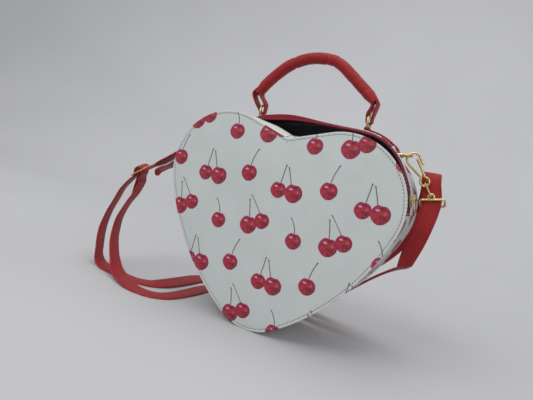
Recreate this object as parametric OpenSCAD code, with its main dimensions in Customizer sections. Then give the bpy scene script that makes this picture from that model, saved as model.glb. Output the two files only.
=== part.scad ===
// Heart-shaped handbag with a zipped top, a rolled carrying handle and a
// detachable, adjustable shoulder strap on wire snap hooks.
// X runs to the right, Y to the back, Z up; the tip of the heart stands at the origin.

/* [Body] */
// Width of the heart across both lobes
heart_w = 240; // [225:1:250]
// Height of the heart from its tip to the top of the lobes
heart_h = 204; // [195:1:215]
// Radius of the round top of each lobe
lobe_r = 61; // [58:1:62]
// Radius of the rounded tip
tip_r = 51; // [45:1:56]
// Radius of the long curve of each flank
flank_r = 227; // [215:1:250]
// Drop of the cleft below the top of the lobes
cleft_drop = 16; // [13:1:20]
// Depth from the front face to the back face
bag_depth = 80; // [74:1:90]
// Thickness of the printed outer leather
skin_t = 1.2; // [1:0.1:1.4]
// Thickness of the foam behind each panel
foam_t = 3; // [2:0.5:4]
// Thickness of the lining
lining_t = 0.8; // [0.6:0.1:1]
// How far the rim of each panel stands proud of the gusset
rim_proud = 1.5; // [1:0.1:2]

/* [Zipper] */
// Width of the narrow gusset strip in front of the zipper
front_strip_w = 12; // [10:1:14]
// Width of the wide gusset strip behind the zipper
rear_strip_w = 38; // [36:1:40]
// Thickness of the zipper tape
tape_t = 0.7; // [0.5:0.1:0.8]
// Overlap of the tape under the leather
tape_lap = 4; // [3:0.5:5]
// Gap between the two tapes where they run side by side
slit_w = 2.6; // [2.4:0.1:3]
// Extra gap on each side at the middle of the open mouth
mouth_spread = 6; // [4:0.5:7]
// Distance from one tooth to the next
tooth_pitch = 2.5; // [2.4:0.1:4]
// Length of the slider body
slider_l = 11; // [10:0.5:12]
// Length of the pull tab
pull_l = 8; // [7:0.5:12]

/* [Handle] */
// Distance of each handle ring from the middle of the bag
handle_reach = 58; // [55:1:60]
// Radius of the leather grip
grip_r = 6.25; // [5.75:0.25:7]
// Radius of the filler cord inside the grip
core_r = 4.5; // [4:0.25:5.25]
// Radius of the two bends of the grip
grip_bend_r = 62; // [55:1:70]
// Length of the straight stretch above each knee
grip_straight = 25; // [22:1:30]
// Length of the flat doubled end below each knee
handle_end_l = 17; // [15:1:20]
// Sideways lean of the handle, in degrees
handle_lean = 4.5; // [0:0.5:6]

/* [Hardware] */
// Radius of the thin wire of the rings and hooks
wire_r = 1.1; // [0.9:0.05:1.2]
// Inner radius of the round handle rings
ring_in_r = 6; // [5.5:0.25:7]
// Inner width of the D-rings
d_ring_w = 14; // [13:0.5:15]
// Straight leg of the D-rings
d_ring_leg = 4; // [3:0.5:5]
// Radius of the round lower end of a snap hook
hook_bulb_r = 4; // [3.9:0.05:4.2]
// Straight length of the spine of a snap hook
hook_spine_l = 16.5; // [15:0.5:18]
// Radius of the crook of a snap hook
hook_crook_r = 6.25; // [6:0.05:6.4]

/* [Strap] */
// Width of the shoulder strap
strap_w = 18; // [16:0.5:19]
// Thickness of the shoulder strap
strap_t = 1.8; // [1.4:0.1:2.2]
// Length of the strap adjuster
adjuster_l = 26; // [24:0.5:28]
// Width of the red band between the handle ring and the D-ring
band_w = 16; // [12:0.5:17]
// Thickness of the red band
band_t = 1.4; // [1:0.1:1.6]

/* [Hidden] */
$fn = 48;

white = "white";
navy = [0.1, 0.11, 0.14];
red = [0.62, 0.13, 0.15];
burgundy = [0.4, 0.05, 0.12];
gold = [0.85, 0.78, 0.5];
foam_grey = [0.8, 0.8, 0.82];

// One overrun serves every cut, one gap every loose seat and one fit every turning pin
cut = 1;
seat_gap = 0.3;
pin_fit = 0.05;
// Steps along the round stretches of the heart outline
arc_steps = 26;
flank_steps = 9;
tip_steps = 8;

// Heart outline: a tip arc, a flank arc and a lobe arc on each side, and a straight run to the cleft

lobe_x = heart_w / 2 - lobe_r;
lobe_z = heart_h - lobe_r;
cleft_z = heart_h - cleft_drop;
tip_centre = [0, tip_r];
lobe_centre = [lobe_x, lobe_z];
tip_to_lobe = norm(lobe_centre - tip_centre);
along = (pow(flank_r - tip_r, 2) - pow(flank_r - lobe_r, 2) + pow(tip_to_lobe, 2)) / (2 * tip_to_lobe);
aside = sqrt(pow(flank_r - tip_r, 2) - pow(along, 2));
to_lobe = (lobe_centre - tip_centre) / tip_to_lobe;
flank_centre = tip_centre + along * to_lobe + aside * [-to_lobe[1], to_lobe[0]];
tip_end = atan2(tip_centre[1] - flank_centre[1], tip_centre[0] - flank_centre[0]);
lobe_start = atan2(lobe_centre[1] - flank_centre[1], lobe_centre[0] - flank_centre[0]);
cleft_reach = norm([lobe_x, lobe_z - cleft_z]);
lobe_end = atan2(cleft_z - lobe_z, -lobe_x) - acos(lobe_r / cleft_reach);
top_slope = lobe_end - 90;

function on_arc(centre, r, a) = centre + r * [cos(a), sin(a)];
function arc(centre, r, a0, a1, n, first = 1) =
    [for (i = [first:n]) on_arc(centre, r, a0 + (a1 - a0) * i / n)];
function right_half(d, top) = concat(
    arc(tip_centre, tip_r - d, -90, tip_end, tip_steps, 0),
    arc(flank_centre, flank_r - d, tip_end, lobe_start, flank_steps),
    arc(lobe_centre, lobe_r - d, lobe_start, top, arc_steps));
function mirrored(points) = [for (i = [len(points) - 1:-1:1]) [-points[i][0], points[i][1]]];
// The heart, drawn in by d; a bridged one runs straight across from lobe to lobe
function heart(d) = concat(right_half(d, lobe_end), [[0, cleft_z - d / cos(top_slope)]],
    mirrored(right_half(d, lobe_end)));
function bridged(d) = concat(right_half(d, 90), mirrored(right_half(d, 90)));

front_y = -bag_depth / 2;
back_y = bag_depth / 2;
gusset_d = rim_proud;
lining_d = gusset_d + skin_t;
inside_d = lining_d + lining_t;
pad_d = inside_d + seat_gap;
zip_y = (front_y + front_strip_w + back_y - rear_strip_w) / 2;
zip_end_z = lobe_z;

// A slice of a front-view outline between two depths
module slab(y0, y1) {
    translate([0, y1, 0])
        rotate([90, 0, 0])
            linear_extrude(y1 - y0)
                children();
}

module ring_2d(outer, inner) {
    difference() {
        polygon(outer);
        polygon(inner);
    }
}

module above_zip_ends() {
    intersection() {
        children();
        translate([-heart_w, zip_end_z])
            square([2 * heart_w, heart_h]);
    }
}

module below_zip_ends() {
    intersection() {
        children();
        translate([-heart_w, zip_end_z - heart_h])
            square([2 * heart_w, heart_h]);
    }
}

// Panels

module front_panel() {
    color(white)
        slab(front_y, front_y + skin_t)
            polygon(heart(0));
}

module back_panel() {
    color(white)
        slab(back_y - skin_t, back_y)
            polygon(heart(0));
}

module front_foam() {
    color(foam_grey)
        slab(front_y + skin_t, front_y + skin_t + foam_t)
            polygon(heart(pad_d));
}

module back_foam() {
    color(foam_grey)
        slab(back_y - skin_t - foam_t, back_y - skin_t)
            polygon(heart(pad_d));
}

module front_lining() {
    color(navy)
        slab(front_y + skin_t + foam_t, front_y + skin_t + foam_t + lining_t)
            polygon(heart(pad_d));
}

module back_lining() {
    color(navy)
        slab(back_y - skin_t - foam_t - lining_t, back_y - skin_t - foam_t)
            polygon(heart(pad_d));
}

// Gusset: one band round the tip, and two strips over the lobes with the zipper between them

module base_gusset() {
    color(white)
        slab(front_y + skin_t, back_y - skin_t)
            below_zip_ends()
                ring_2d(heart(gusset_d), heart(lining_d));
}

module base_lining() {
    color(navy)
        slab(front_y + skin_t, back_y - skin_t)
            below_zip_ends()
                ring_2d(heart(lining_d), heart(inside_d));
}

module front_strip() {
    color(white)
        slab(front_y + skin_t, front_y + front_strip_w)
            above_zip_ends()
                ring_2d(heart(gusset_d), heart(lining_d));
}

// The rear strip runs straight across the cleft at the zipper and sinks into it at the back panel
valley_y = back_y - rear_strip_w + 2 * tape_lap;

module valley(d) {
    low = cleft_z - d / cos(top_slope);
    pitch = atan2(heart_h - d - low, back_y - valley_y);
    flare = atan(tan(top_slope) * cos(pitch));
    translate([0, back_y, low])
        rotate([90 - pitch, 0, 0])
            translate([0, 0, -bag_depth])
                linear_extrude(2 * bag_depth)
                    polygon([[0, 0], [heart_w, heart_w * tan(flare)], [-heart_w, heart_w * tan(flare)]]);
}

module sunk_strip(outer_d, inner_d, y0, y1) {
    difference() {
        slab(y0, y1)
            above_zip_ends()
                polygon(bridged(outer_d));
        valley(outer_d);
        difference() {
            slab(y0 - cut, y1 + cut)
                polygon(bridged(inner_d));
            valley(inner_d);
        }
    }
}

module rear_strip() {
    color(white)
        sunk_strip(gusset_d, lining_d, back_y - rear_strip_w, back_y - skin_t);
}

module rear_strip_lining() {
    color(navy)
        sunk_strip(lining_d + tape_t, inside_d + tape_t,
            back_y - rear_strip_w + tape_lap, back_y - skin_t - foam_t - lining_t);
}

// Zipper: the tapes run side by side over the lobes and part between them

function mouth_gap(x) = slit_w / 2
    + (abs(x) < lobe_x ? mouth_spread * (1 + cos(180 * x / lobe_x)) / 2 : 0);
mouth_steps = 16;
mouth_xs = [for (i = [0:mouth_steps]) -lobe_x + 2 * lobe_x * i / mouth_steps];

module tape_plan(side) {
    far = side * bag_depth;
    polygon(concat([[-heart_w, far], [-heart_w, side * slit_w / 2]],
        [for (x = mouth_xs) [x, side * mouth_gap(x)]],
        [[heart_w, side * slit_w / 2], [heart_w, far]]));
}

module zip_tape(side, outer, inner, y0, y1) {
    color(burgundy)
        intersection() {
            slab(y0, y1)
                above_zip_ends()
                    ring_2d(outer, inner);
            translate([0, zip_y, 0])
                linear_extrude(2 * heart_h)
                    tape_plan(side);
        }
}

module front_zip_tape() {
    zip_tape(-1, heart(lining_d), heart(lining_d + tape_t),
        front_y + front_strip_w - tape_lap, zip_y);
}

module rear_zip_tape() {
    zip_tape(1, bridged(lining_d), bridged(lining_d + tape_t),
        zip_y, back_y - rear_strip_w + tape_lap);
}

tooth_l = 1.5;
tooth_w = 2.4;
tooth_h = 1.1;
tooth_reach = 0.5;
tooth_lift = 0.15;
tooth_r = lobe_r - lining_d + tooth_lift;
zip_end_a = 6;

module tooth(side, x) {
    edge = zip_y + side * mouth_gap(x);
    y0 = side < 0 ? edge - tooth_w + tooth_reach : edge - tooth_reach;
    translate([-tooth_l / 2, y0, 0])
        cube([tooth_l, tooth_w, tooth_h]);
}

module lobe_teeth(side, last) {
    count = floor(tooth_r * PI * (last - zip_end_a) / 180 / tooth_pitch);
    for (i = [0:count]) {
        a = zip_end_a + i * tooth_pitch / tooth_r * 180 / PI;
        at = on_arc(lobe_centre, tooth_r, a);
        for (half = [-1, 1])
            translate([half * at[0], 0, at[1]])
                rotate([0, half * (90 - a), 0])
                    tooth(side, at[0]);
    }
}

module front_zip_teeth() {
    run = norm(on_arc(lobe_centre, tooth_r, lobe_end) - [0, cleft_z - (lining_d - tooth_lift) / cos(top_slope)]);
    low = cleft_z - (lining_d - tooth_lift) / cos(top_slope);
    color(burgundy) {
        lobe_teeth(-1, lobe_end);
        for (s = [tooth_pitch / 2:tooth_pitch:run], half = [-1, 1]) {
            x = half * s * cos(top_slope);
            translate([x, 0, low + s * sin(top_slope)])
                rotate([0, -half * top_slope, 0])
                    tooth(-1, x);
        }
    }
}

module rear_zip_teeth() {
    color(burgundy) {
        lobe_teeth(1, 90);
        for (x = [-lobe_x + tooth_pitch:tooth_pitch:lobe_x - tooth_pitch / 2])
            translate([x, 0, lobe_z + tooth_r])
                tooth(1, x);
    }
}

// A place on the gusset over a lobe: u runs down the flank, w points outwards
module on_lobe(half, r, a) {
    at = on_arc(lobe_centre, r, a);
    translate([half * at[0], 0, at[1]])
        rotate([0, half * (90 - a), 0])
            children();
}

stop_l = 2.2;
module zip_stops() {
    color(gold)
        for (half = [-1, 1])
            on_lobe(half, tooth_r, 2)
                translate([-stop_l / 2, zip_y - slit_w / 2 - tooth_w, 0])
                    cube([stop_l, slit_w + 2 * tooth_w, tooth_h]);
}

slider_a = 13.6;
slider_w = slit_w + 2 * tooth_w + 2.2;
plate_t = 0.9;
slider_clear = 0.5;
post_w = 0.9;
bail_r = 0.8;
bail_h = 2.6;
pin_lift = 2 * bail_r + seat_gap;

module zip_slider() {
    top = tooth_h + slider_clear;
    low = -tape_t - tooth_lift - slider_clear - plate_t;
    bail_z = top + plate_t + pin_lift;
    color(gold)
        on_lobe(1, tooth_r, slider_a)
            translate([-slider_l / 2, zip_y, 0]) {
                for (z = [low, top])
                    translate([0, -slider_w / 2, z])
                        cube([slider_l, slider_w, plate_t]);
                translate([0, -post_w / 2, low])
                    cube([slider_l / 5, post_w, top - low + plate_t]);
                difference() {
                    translate([slider_l / 5, 0, bail_z])
                        rotate([90, 0, 0])
                            cylinder(r = bail_h, h = slider_w / 3, center = true);
                    translate([slider_l / 5, 0, bail_z])
                        rotate([90, 0, 0])
                            cylinder(r = bail_r + pin_fit, h = slider_w, center = true);
                    translate([-slider_l, -slider_w, top - 2 * bail_h])
                        cube([2 * slider_l, 2 * slider_w, 2 * bail_h]);
                }
            }
}

pull_tip_w = 3;
pull_t = 1.1;

module zip_pull() {
    pin_z = tooth_h + slider_clear + plate_t + pin_lift;
    eye = slider_w / 3 + 2 * seat_gap;
    color(gold)
        on_lobe(1, tooth_r, slider_a)
            translate([-slider_l / 2 + slider_l / 5, zip_y, pin_z]) {
                rotate([90, 0, 0])
                    cylinder(r = bail_r, h = eye + 2 * pull_t, center = true);
                for (side = [-1, 1])
                    translate([0, side * (eye + pull_t) / 2, 0])
                        rotate([90, 0, 0])
                            linear_extrude(pull_t, center = true)
                                union() {
                                    circle(r = bail_r * 2);
                                    translate([0, bail_r])
                                        square([bail_h + 2 * bail_r, bail_r]);
                                }
                translate([bail_h + bail_r, 0, bail_r])
                    linear_extrude(bail_r)
                        difference() {
                            union() {
                                polygon([[0, -eye / 2 - pull_t], [pull_l, -pull_tip_w / 2],
                                    [pull_l, pull_tip_w / 2], [0, eye / 2 + pull_t]]);
                                translate([pull_l, 0])
                                    circle(d = pull_tip_w);
                            }
                            translate([pull_l - pull_tip_w / 2, 0])
                                circle(d = pull_tip_w / 2);
                        }
            }
}

// Red bands sewn over the rear strip, with a loop for a ring at each end

band_y = back_y - rear_strip_w / 2 - 7;
band_r = lobe_r - gusset_d;
band_top_a = 90;
band_end_a = 57;
bar_rise = 4.5;
loop_l = 9;
loop_r = wire_r + seat_gap + band_t;
d_loop_l = d_ring_w - 2;
d_loop_r = wire_r + pin_fit + band_t;
handle_ring_r = ring_in_r + wire_r;
handle_ring_z = handle_ring_r + wire_r + seat_gap + band_t / 2;

module band_profile(d0, d1, a0, a1) {
    intersection() {
        ring_2d(bridged(d0), bridged(d1));
        translate(lobe_centre)
            polygon([[0, 0], 2 * lobe_r * [cos(a0), sin(a0)], 2 * lobe_r * [cos((a0 + a1) / 2), sin((a0 + a1) / 2)],
                2 * lobe_r * [cos(a1), sin(a1)]]);
    }
}

module torus(r, thick) {
    rotate([0, 90, 0])
        rotate_extrude()
            translate([r, 0])
                circle(r = thick);
}

// Middle of a handle ring, standing on the band over a lobe
function handle_ring_at(half) = [half * handle_reach, band_y,
    lobe_z + sqrt(pow(band_r + band_t, 2) - pow(handle_reach - lobe_x, 2)) + handle_ring_z
    + (half > 0 ? 1 : 0) * ring_lift];
ring_lift = 2 * handle_reach * sin(handle_lean);

// The loop round the bar of a D-ring, with its two layers running back onto the band
module d_loop_2d() {
    root = on_arc(lobe_centre, band_r + band_t / 2, band_end_a + loop_spread);
    toe = on_arc(lobe_centre, band_r + band_t / 2, band_end_a - loop_spread / 2);
    at = [d_bar[0], d_bar[1]];
    out = [cos(band_end_a), sin(band_end_a)];
    translate(at)
        circle(r = d_loop_r);
    polygon([root, toe, at - d_loop_r * out / 2 + d_loop_r * [out[1], -out[0]] / 2,
        at + d_loop_r * out / 2 - d_loop_r * [out[1], -out[0]] / 2]);
}
loop_spread = 9;

module band(half) {
    lift = half > 0 ? ring_lift : 0;
    at = handle_ring_at(half);
    low = at[2] - handle_ring_r;
    color(red)
        difference() {
            union() {
                slab(band_y - band_w / 2, band_y + band_w / 2)
                    mirror([half > 0 ? 0 : 1, 0])
                        band_profile(gusset_d - band_t, gusset_d, band_end_a, band_top_a);
                translate([at[0], band_y, 0])
                    rotate([90, 0, 0])
                        linear_extrude(loop_l, center = true)
                            union() {
                                translate([0, low + wire_r / 2])
                                    circle(r = loop_r);
                                translate([-band_t, heart_h - gusset_d + seat_gap])
                                    square([2 * band_t, low - heart_h + gusset_d]);
                            }
                sided(half)
                    translate([0, band_y, 0])
                        rotate([90, 0, 0])
                            linear_extrude(d_loop_l, center = true)
                                d_loop_2d();
            }
            translate(at)
                rotate([0, -handle_lean, 0])
                    torus(handle_ring_r, wire_r + seat_gap);
            sided(half)
                translate([d_bar[0], band_y, d_bar[1]])
                    rotate([90, 0, 0])
                        cylinder(r = wire_r + pin_fit, h = 2 * band_w, center = true);
        }
}

module left_band() {
    band(-1);
}

module right_band() {
    band(1);
}

// Handle: a rolled grip round a filler cord, flat ends folded round two rings

module handle_ring(half) {
    color(gold)
        translate(handle_ring_at(half))
            rotate([0, -handle_lean, 0])
                torus(handle_ring_r, wire_r);
}

module left_handle_ring() {
    handle_ring(-1);
}

module right_handle_ring() {
    handle_ring(1);
}

ring_span = norm(handle_ring_at(1) - handle_ring_at(-1));
handle_mid = (handle_ring_at(1) + handle_ring_at(-1)) / 2;
knee_x = ring_span / 2 + grip_r * 0.9;
grip_rise = 48;

// A wire or roll that starts at the origin along +X and lies in the XY plane; each bend is
// [straight length, bend radius, angle to the left]. Every second bend is a hair thinner and the
// straight stretches thinner again, and the thinner piece runs a little into its neighbours
joint_share = 0.01;
joint_lap = 0.1;
module bent(bends, r, i = 0) {
    if (i < len(bends)) {
        b = bends[i];
        side = b[2] < 0 ? -1 : 1;
        odd = i % 2;
        lap_a = odd * side * joint_lap / max(b[1], joint_lap) * 180 / PI;
        before = b[0] == 0 ? lap_a : 0;
        after = i + 1 < len(bends) && bends[i + 1][0] == 0 ? lap_a : 0;
        if (b[0] > 0)
            translate([-joint_lap, 0, 0])
                rotate([0, 90, 0])
                    cylinder(r = r * (1 - 2 * joint_share), h = b[0] + 2 * joint_lap);
        translate([b[0], side * b[1], 0]) {
            if (b[2] != 0)
                rotate([0, 0, -90 * side - before])
                    rotate_extrude(angle = b[2] + before + after)
                        translate([b[1], 0])
                            circle(r = r * (1 - odd * joint_share));
            rotate([0, 0, b[2]])
                translate([0, -side * b[1], 0])
                    bent(bends, r, i + 1);
        }
    }
}

// Right-hand hardware is drawn once and mirrored for the left
module sided(half) {
    mirror([half < 0 ? 1 : 0, 0, 0])
        children();
}

module handle_frame() {
    translate(handle_mid)
        rotate([0, -handle_lean, 0])
            children();
}

grip_half = grip_straight * cos(grip_rise) + grip_bend_r * sin(grip_rise);
grip_top = (knee_x - grip_half) * 2;
knee_z = handle_end_l;
grip_bends = [[grip_straight, grip_bend_r, -grip_rise], [max(grip_top, cut / 2), grip_bend_r, -grip_rise],
    [grip_straight, 0, 0]];

module roll_in_frame(r) {
    translate([-knee_x, 0, knee_z])
        rotate([90, 0, 0])
            rotate([0, 0, grip_rise])
                bent(grip_bends, r);
}

module roll(r) {
    handle_frame()
        roll_in_frame(r);
}

module handle_grip() {
    color(red)
        difference() {
            roll(grip_r);
            roll(core_r + seat_gap / 2);
        }
}

module handle_core() {
    color(white)
        roll(core_r);
}

end_w = 9;
end_t = 4;

module handle_end(half) {
    color(red)
        handle_frame()
            translate([half * ring_span / 2, 0, 0])
                difference() {
                    rotate([90, 0, 0])
                        linear_extrude(end_w, center = true)
                            union() {
                                translate([0, handle_ring_r - wire_r / 2])
                                    circle(r = loop_r);
                                polygon([[-end_t / 2, handle_ring_r], [end_t / 2, handle_ring_r],
                                    [half * (knee_x - ring_span / 2) + end_t / 2, knee_z - grip_r * 0.4 - seat_gap],
                                    [half * (knee_x - ring_span / 2) - end_t / 2, knee_z - grip_r * 0.4 - seat_gap]]);
                            }
                    torus(handle_ring_r, wire_r + seat_gap / 2);
                    translate([-half * ring_span / 2, 0, 0])
                        roll_in_frame(grip_r + seat_gap);
                }
}

module left_handle_end() {
    handle_end(-1);
}

module right_handle_end() {
    handle_end(1);
}

// D-rings: a straight bar in the loop of the band, two legs and a round end

d_tilt = 7;
d_r = d_ring_w / 2 + wire_r;
d_bar = concat(on_arc(lobe_centre, band_r + bar_rise, band_end_a), [0]);
d_far = d_bar + (d_ring_leg + d_r) * [cos(d_tilt), sin(d_tilt), 0];

module d_ring(half) {
    color(gold)
        sided(half)
            translate([d_bar[0], band_y, d_bar[1]])
                rotate([0, -d_tilt, 0])
                mirror([0, half > 0 ? 1 : 0, 0]) {
                    translate([0, -d_r, 0])
                        bent([[d_ring_leg, d_r, 180], [d_ring_leg, 0, 0]], wire_r);
                    rotate([90, 0, 0])
                        cylinder(r = wire_r, h = 2 * d_r, center = true);
                    for (side = [-1, 1])
                        translate([0, side * d_r, 0])
                            sphere(r = wire_r * knuckle);
                }
}
knuckle = 1.05;

module left_d_ring() {
    d_ring(-1);
}

module right_d_ring() {
    d_ring(1);
}

// Snap hooks: bent wire, with a sprung gate leg that closes on the tip of the crook.
// The frame of a hook has its origin at the middle of the round end and X up the hook

neck_a = 40;
neck_r = 2 * wire_r;
spine_a = 19.3;
tip_l = 6.5;
neck_turn = 90 - neck_a + spine_a;
bulb_turn = 360 - 2 * neck_a;

// Where the spine leaves the neck, and the middle of the crook
spine_foot = (hook_bulb_r + neck_r) * [cos(neck_a), sin(neck_a)] + neck_r * [sin(spine_a), -cos(spine_a)];
crook = spine_foot + hook_spine_l * [cos(spine_a), sin(spine_a)]
    + hook_crook_r * [sin(spine_a), -cos(spine_a)];

gate_y = neck_r - (hook_bulb_r + neck_r) * sin(neck_a);
// The ball on the tip stays a seat gap below the gate
tip_ball_r = min(1.4, gate_y - crook[1] + hook_crook_r - wire_r - seat_gap);

hook_a = 125.3;
hook_up = [cos(hook_a), sin(hook_a)];
hook_left = [-sin(hook_a), cos(hook_a)];
// The round end of the D-ring hangs in the crook, a seat gap below the wire
hang = hook_crook_r - 2 * wire_r - seat_gap;
hook_mid = [d_far[0], d_far[1]] - (crook[0] + hang) * hook_up - crook[1] * hook_left;

module hook_frame(half) {
    sided(half)
        translate([hook_mid[0], band_y, hook_mid[1]])
            rotate([90, 0, 0])
                rotate([0, 0, hook_a])
                    children();
}

module hook_wire() {
    translate(hook_bulb_r * [cos(neck_a), -sin(neck_a)])
        rotate([0, 0, -neck_a - 90])
            bent([[0, hook_bulb_r, -bulb_turn], [0, neck_r, neck_turn],
                [hook_spine_l, hook_crook_r, -spine_a - 180], [tip_l, 0, 0]], wire_r);
    translate([crook[0] - tip_l - joint_lap, crook[1] - hook_crook_r])
        sphere(r = tip_ball_r);
}

module left_hook() {
    color(gold)
        hook_frame(-1)
            hook_wire();
}

module right_hook() {
    color(gold)
        hook_frame(1)
            mirror([0, 0, 1])
                hook_wire();
}

gate_gap = 0.35;
gate_foot = (hook_bulb_r + neck_r) * [cos(neck_a), -sin(neck_a)] + neck_r * [0, 1];
gate_rise = crook[1] - hook_crook_r + 2 * wire_r + seat_gap - gate_foot[1];
gate_end = crook[0] - hook_crook_r / 4;

module gate_wire() {
    skip = gate_gap / neck_r * 180 / PI;
    translate((hook_bulb_r + neck_r) * [cos(neck_a), -sin(neck_a)])
        rotate([0, 0, 180 - neck_a - skip])
            translate([neck_r, 0, 0])
                rotate([0, 0, -90])
                    bent([[0, neck_r, neck_a - 90 + skip], [gate_end - gate_foot[0], 0, 0]], wire_r);
    translate([gate_end, gate_foot[1]])
        sphere(r = wire_r * knuckle);
}

module left_gate() {
    color(gold)
        hook_frame(-1)
            gate_wire();
}

module right_gate() {
    color(gold)
        hook_frame(1)
            gate_wire();
}

// An oblong link joins the round end of each hook to the eye of the strap ring

link_r = 0.9;
link_bend = wire_r + seat_gap + link_r;
eye_r = 2.6;
chain_l = 15.4;
link_seat = wire_r + seat_gap + link_r;
link_top = hook_bulb_r - link_seat + link_bend;
link_low = chain_l - eye_r + link_seat - link_bend;

module swivel_link(half) {
    color(gold)
        hook_frame(half)
            rotate([90, 0, 0])
                translate([-link_top, -link_bend, 0])
                    rotate([0, 0, 180])
                        mirror([0, 1, 0])
                            bent([[link_low - link_top, link_bend, 180],
                                [link_low - link_top, link_bend, 180]], link_r);
}

module left_swivel_link() {
    swivel_link(-1);
}

module right_swivel_link() {
    swivel_link(1);
}

// Strap rings: a wire frame round the strap with an eye for the link

ring_corner = 2.5;
ring_inner = strap_w + 2 * cut;
eye_at = hook_mid - chain_l * hook_up;
bar_at = eye_at - eye_r * hook_up;
left_ring_a = 41.7;
left_ring_l = 10.1;
right_ring_a = 14;
right_ring_lean = 40;
right_ring_l = 6.5;

module ring_frame(inner_l) {
    long = ring_inner + 2 * wire_r - 2 * ring_corner;
    short = inner_l + 2 * wire_r - 2 * ring_corner;
    translate([ring_corner, -ring_inner / 2 - wire_r, 0])
        bent([[short, ring_corner, 90], [long, ring_corner, 90],
            [short, ring_corner, 90], [long, ring_corner, 90]], wire_r);
}

module ring_eye() {
    translate([eye_at[0], band_y, eye_at[1]])
        rotate([90, 0, 0])
            rotate_extrude()
                translate([eye_r, 0])
                    circle(r = wire_r);
}

module left_strap_ring() {
    color(gold) {
        sided(-1)
            ring_eye();
        translate([-bar_at[0], band_y, bar_at[1]])
            rotate([0, left_ring_a, 180])
                ring_frame(left_ring_l);
    }
}

module right_strap_ring() {
    color(gold) {
        ring_eye();
        translate([bar_at[0], band_y, bar_at[1]])
            rotate([0, -right_ring_a, 0])
                rotate([right_ring_lean, 0, 0])
                    rotate([-90, 0, 0])
                        rotate([0, 0, 90])
                            ring_frame(right_ring_l);
    }
}

// Strap: one ribbon through both rings and the adjuster. Its route is a table of shares of the
// reach, the depth and the height of the right strap ring, each with the lie of the strap's width

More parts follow.
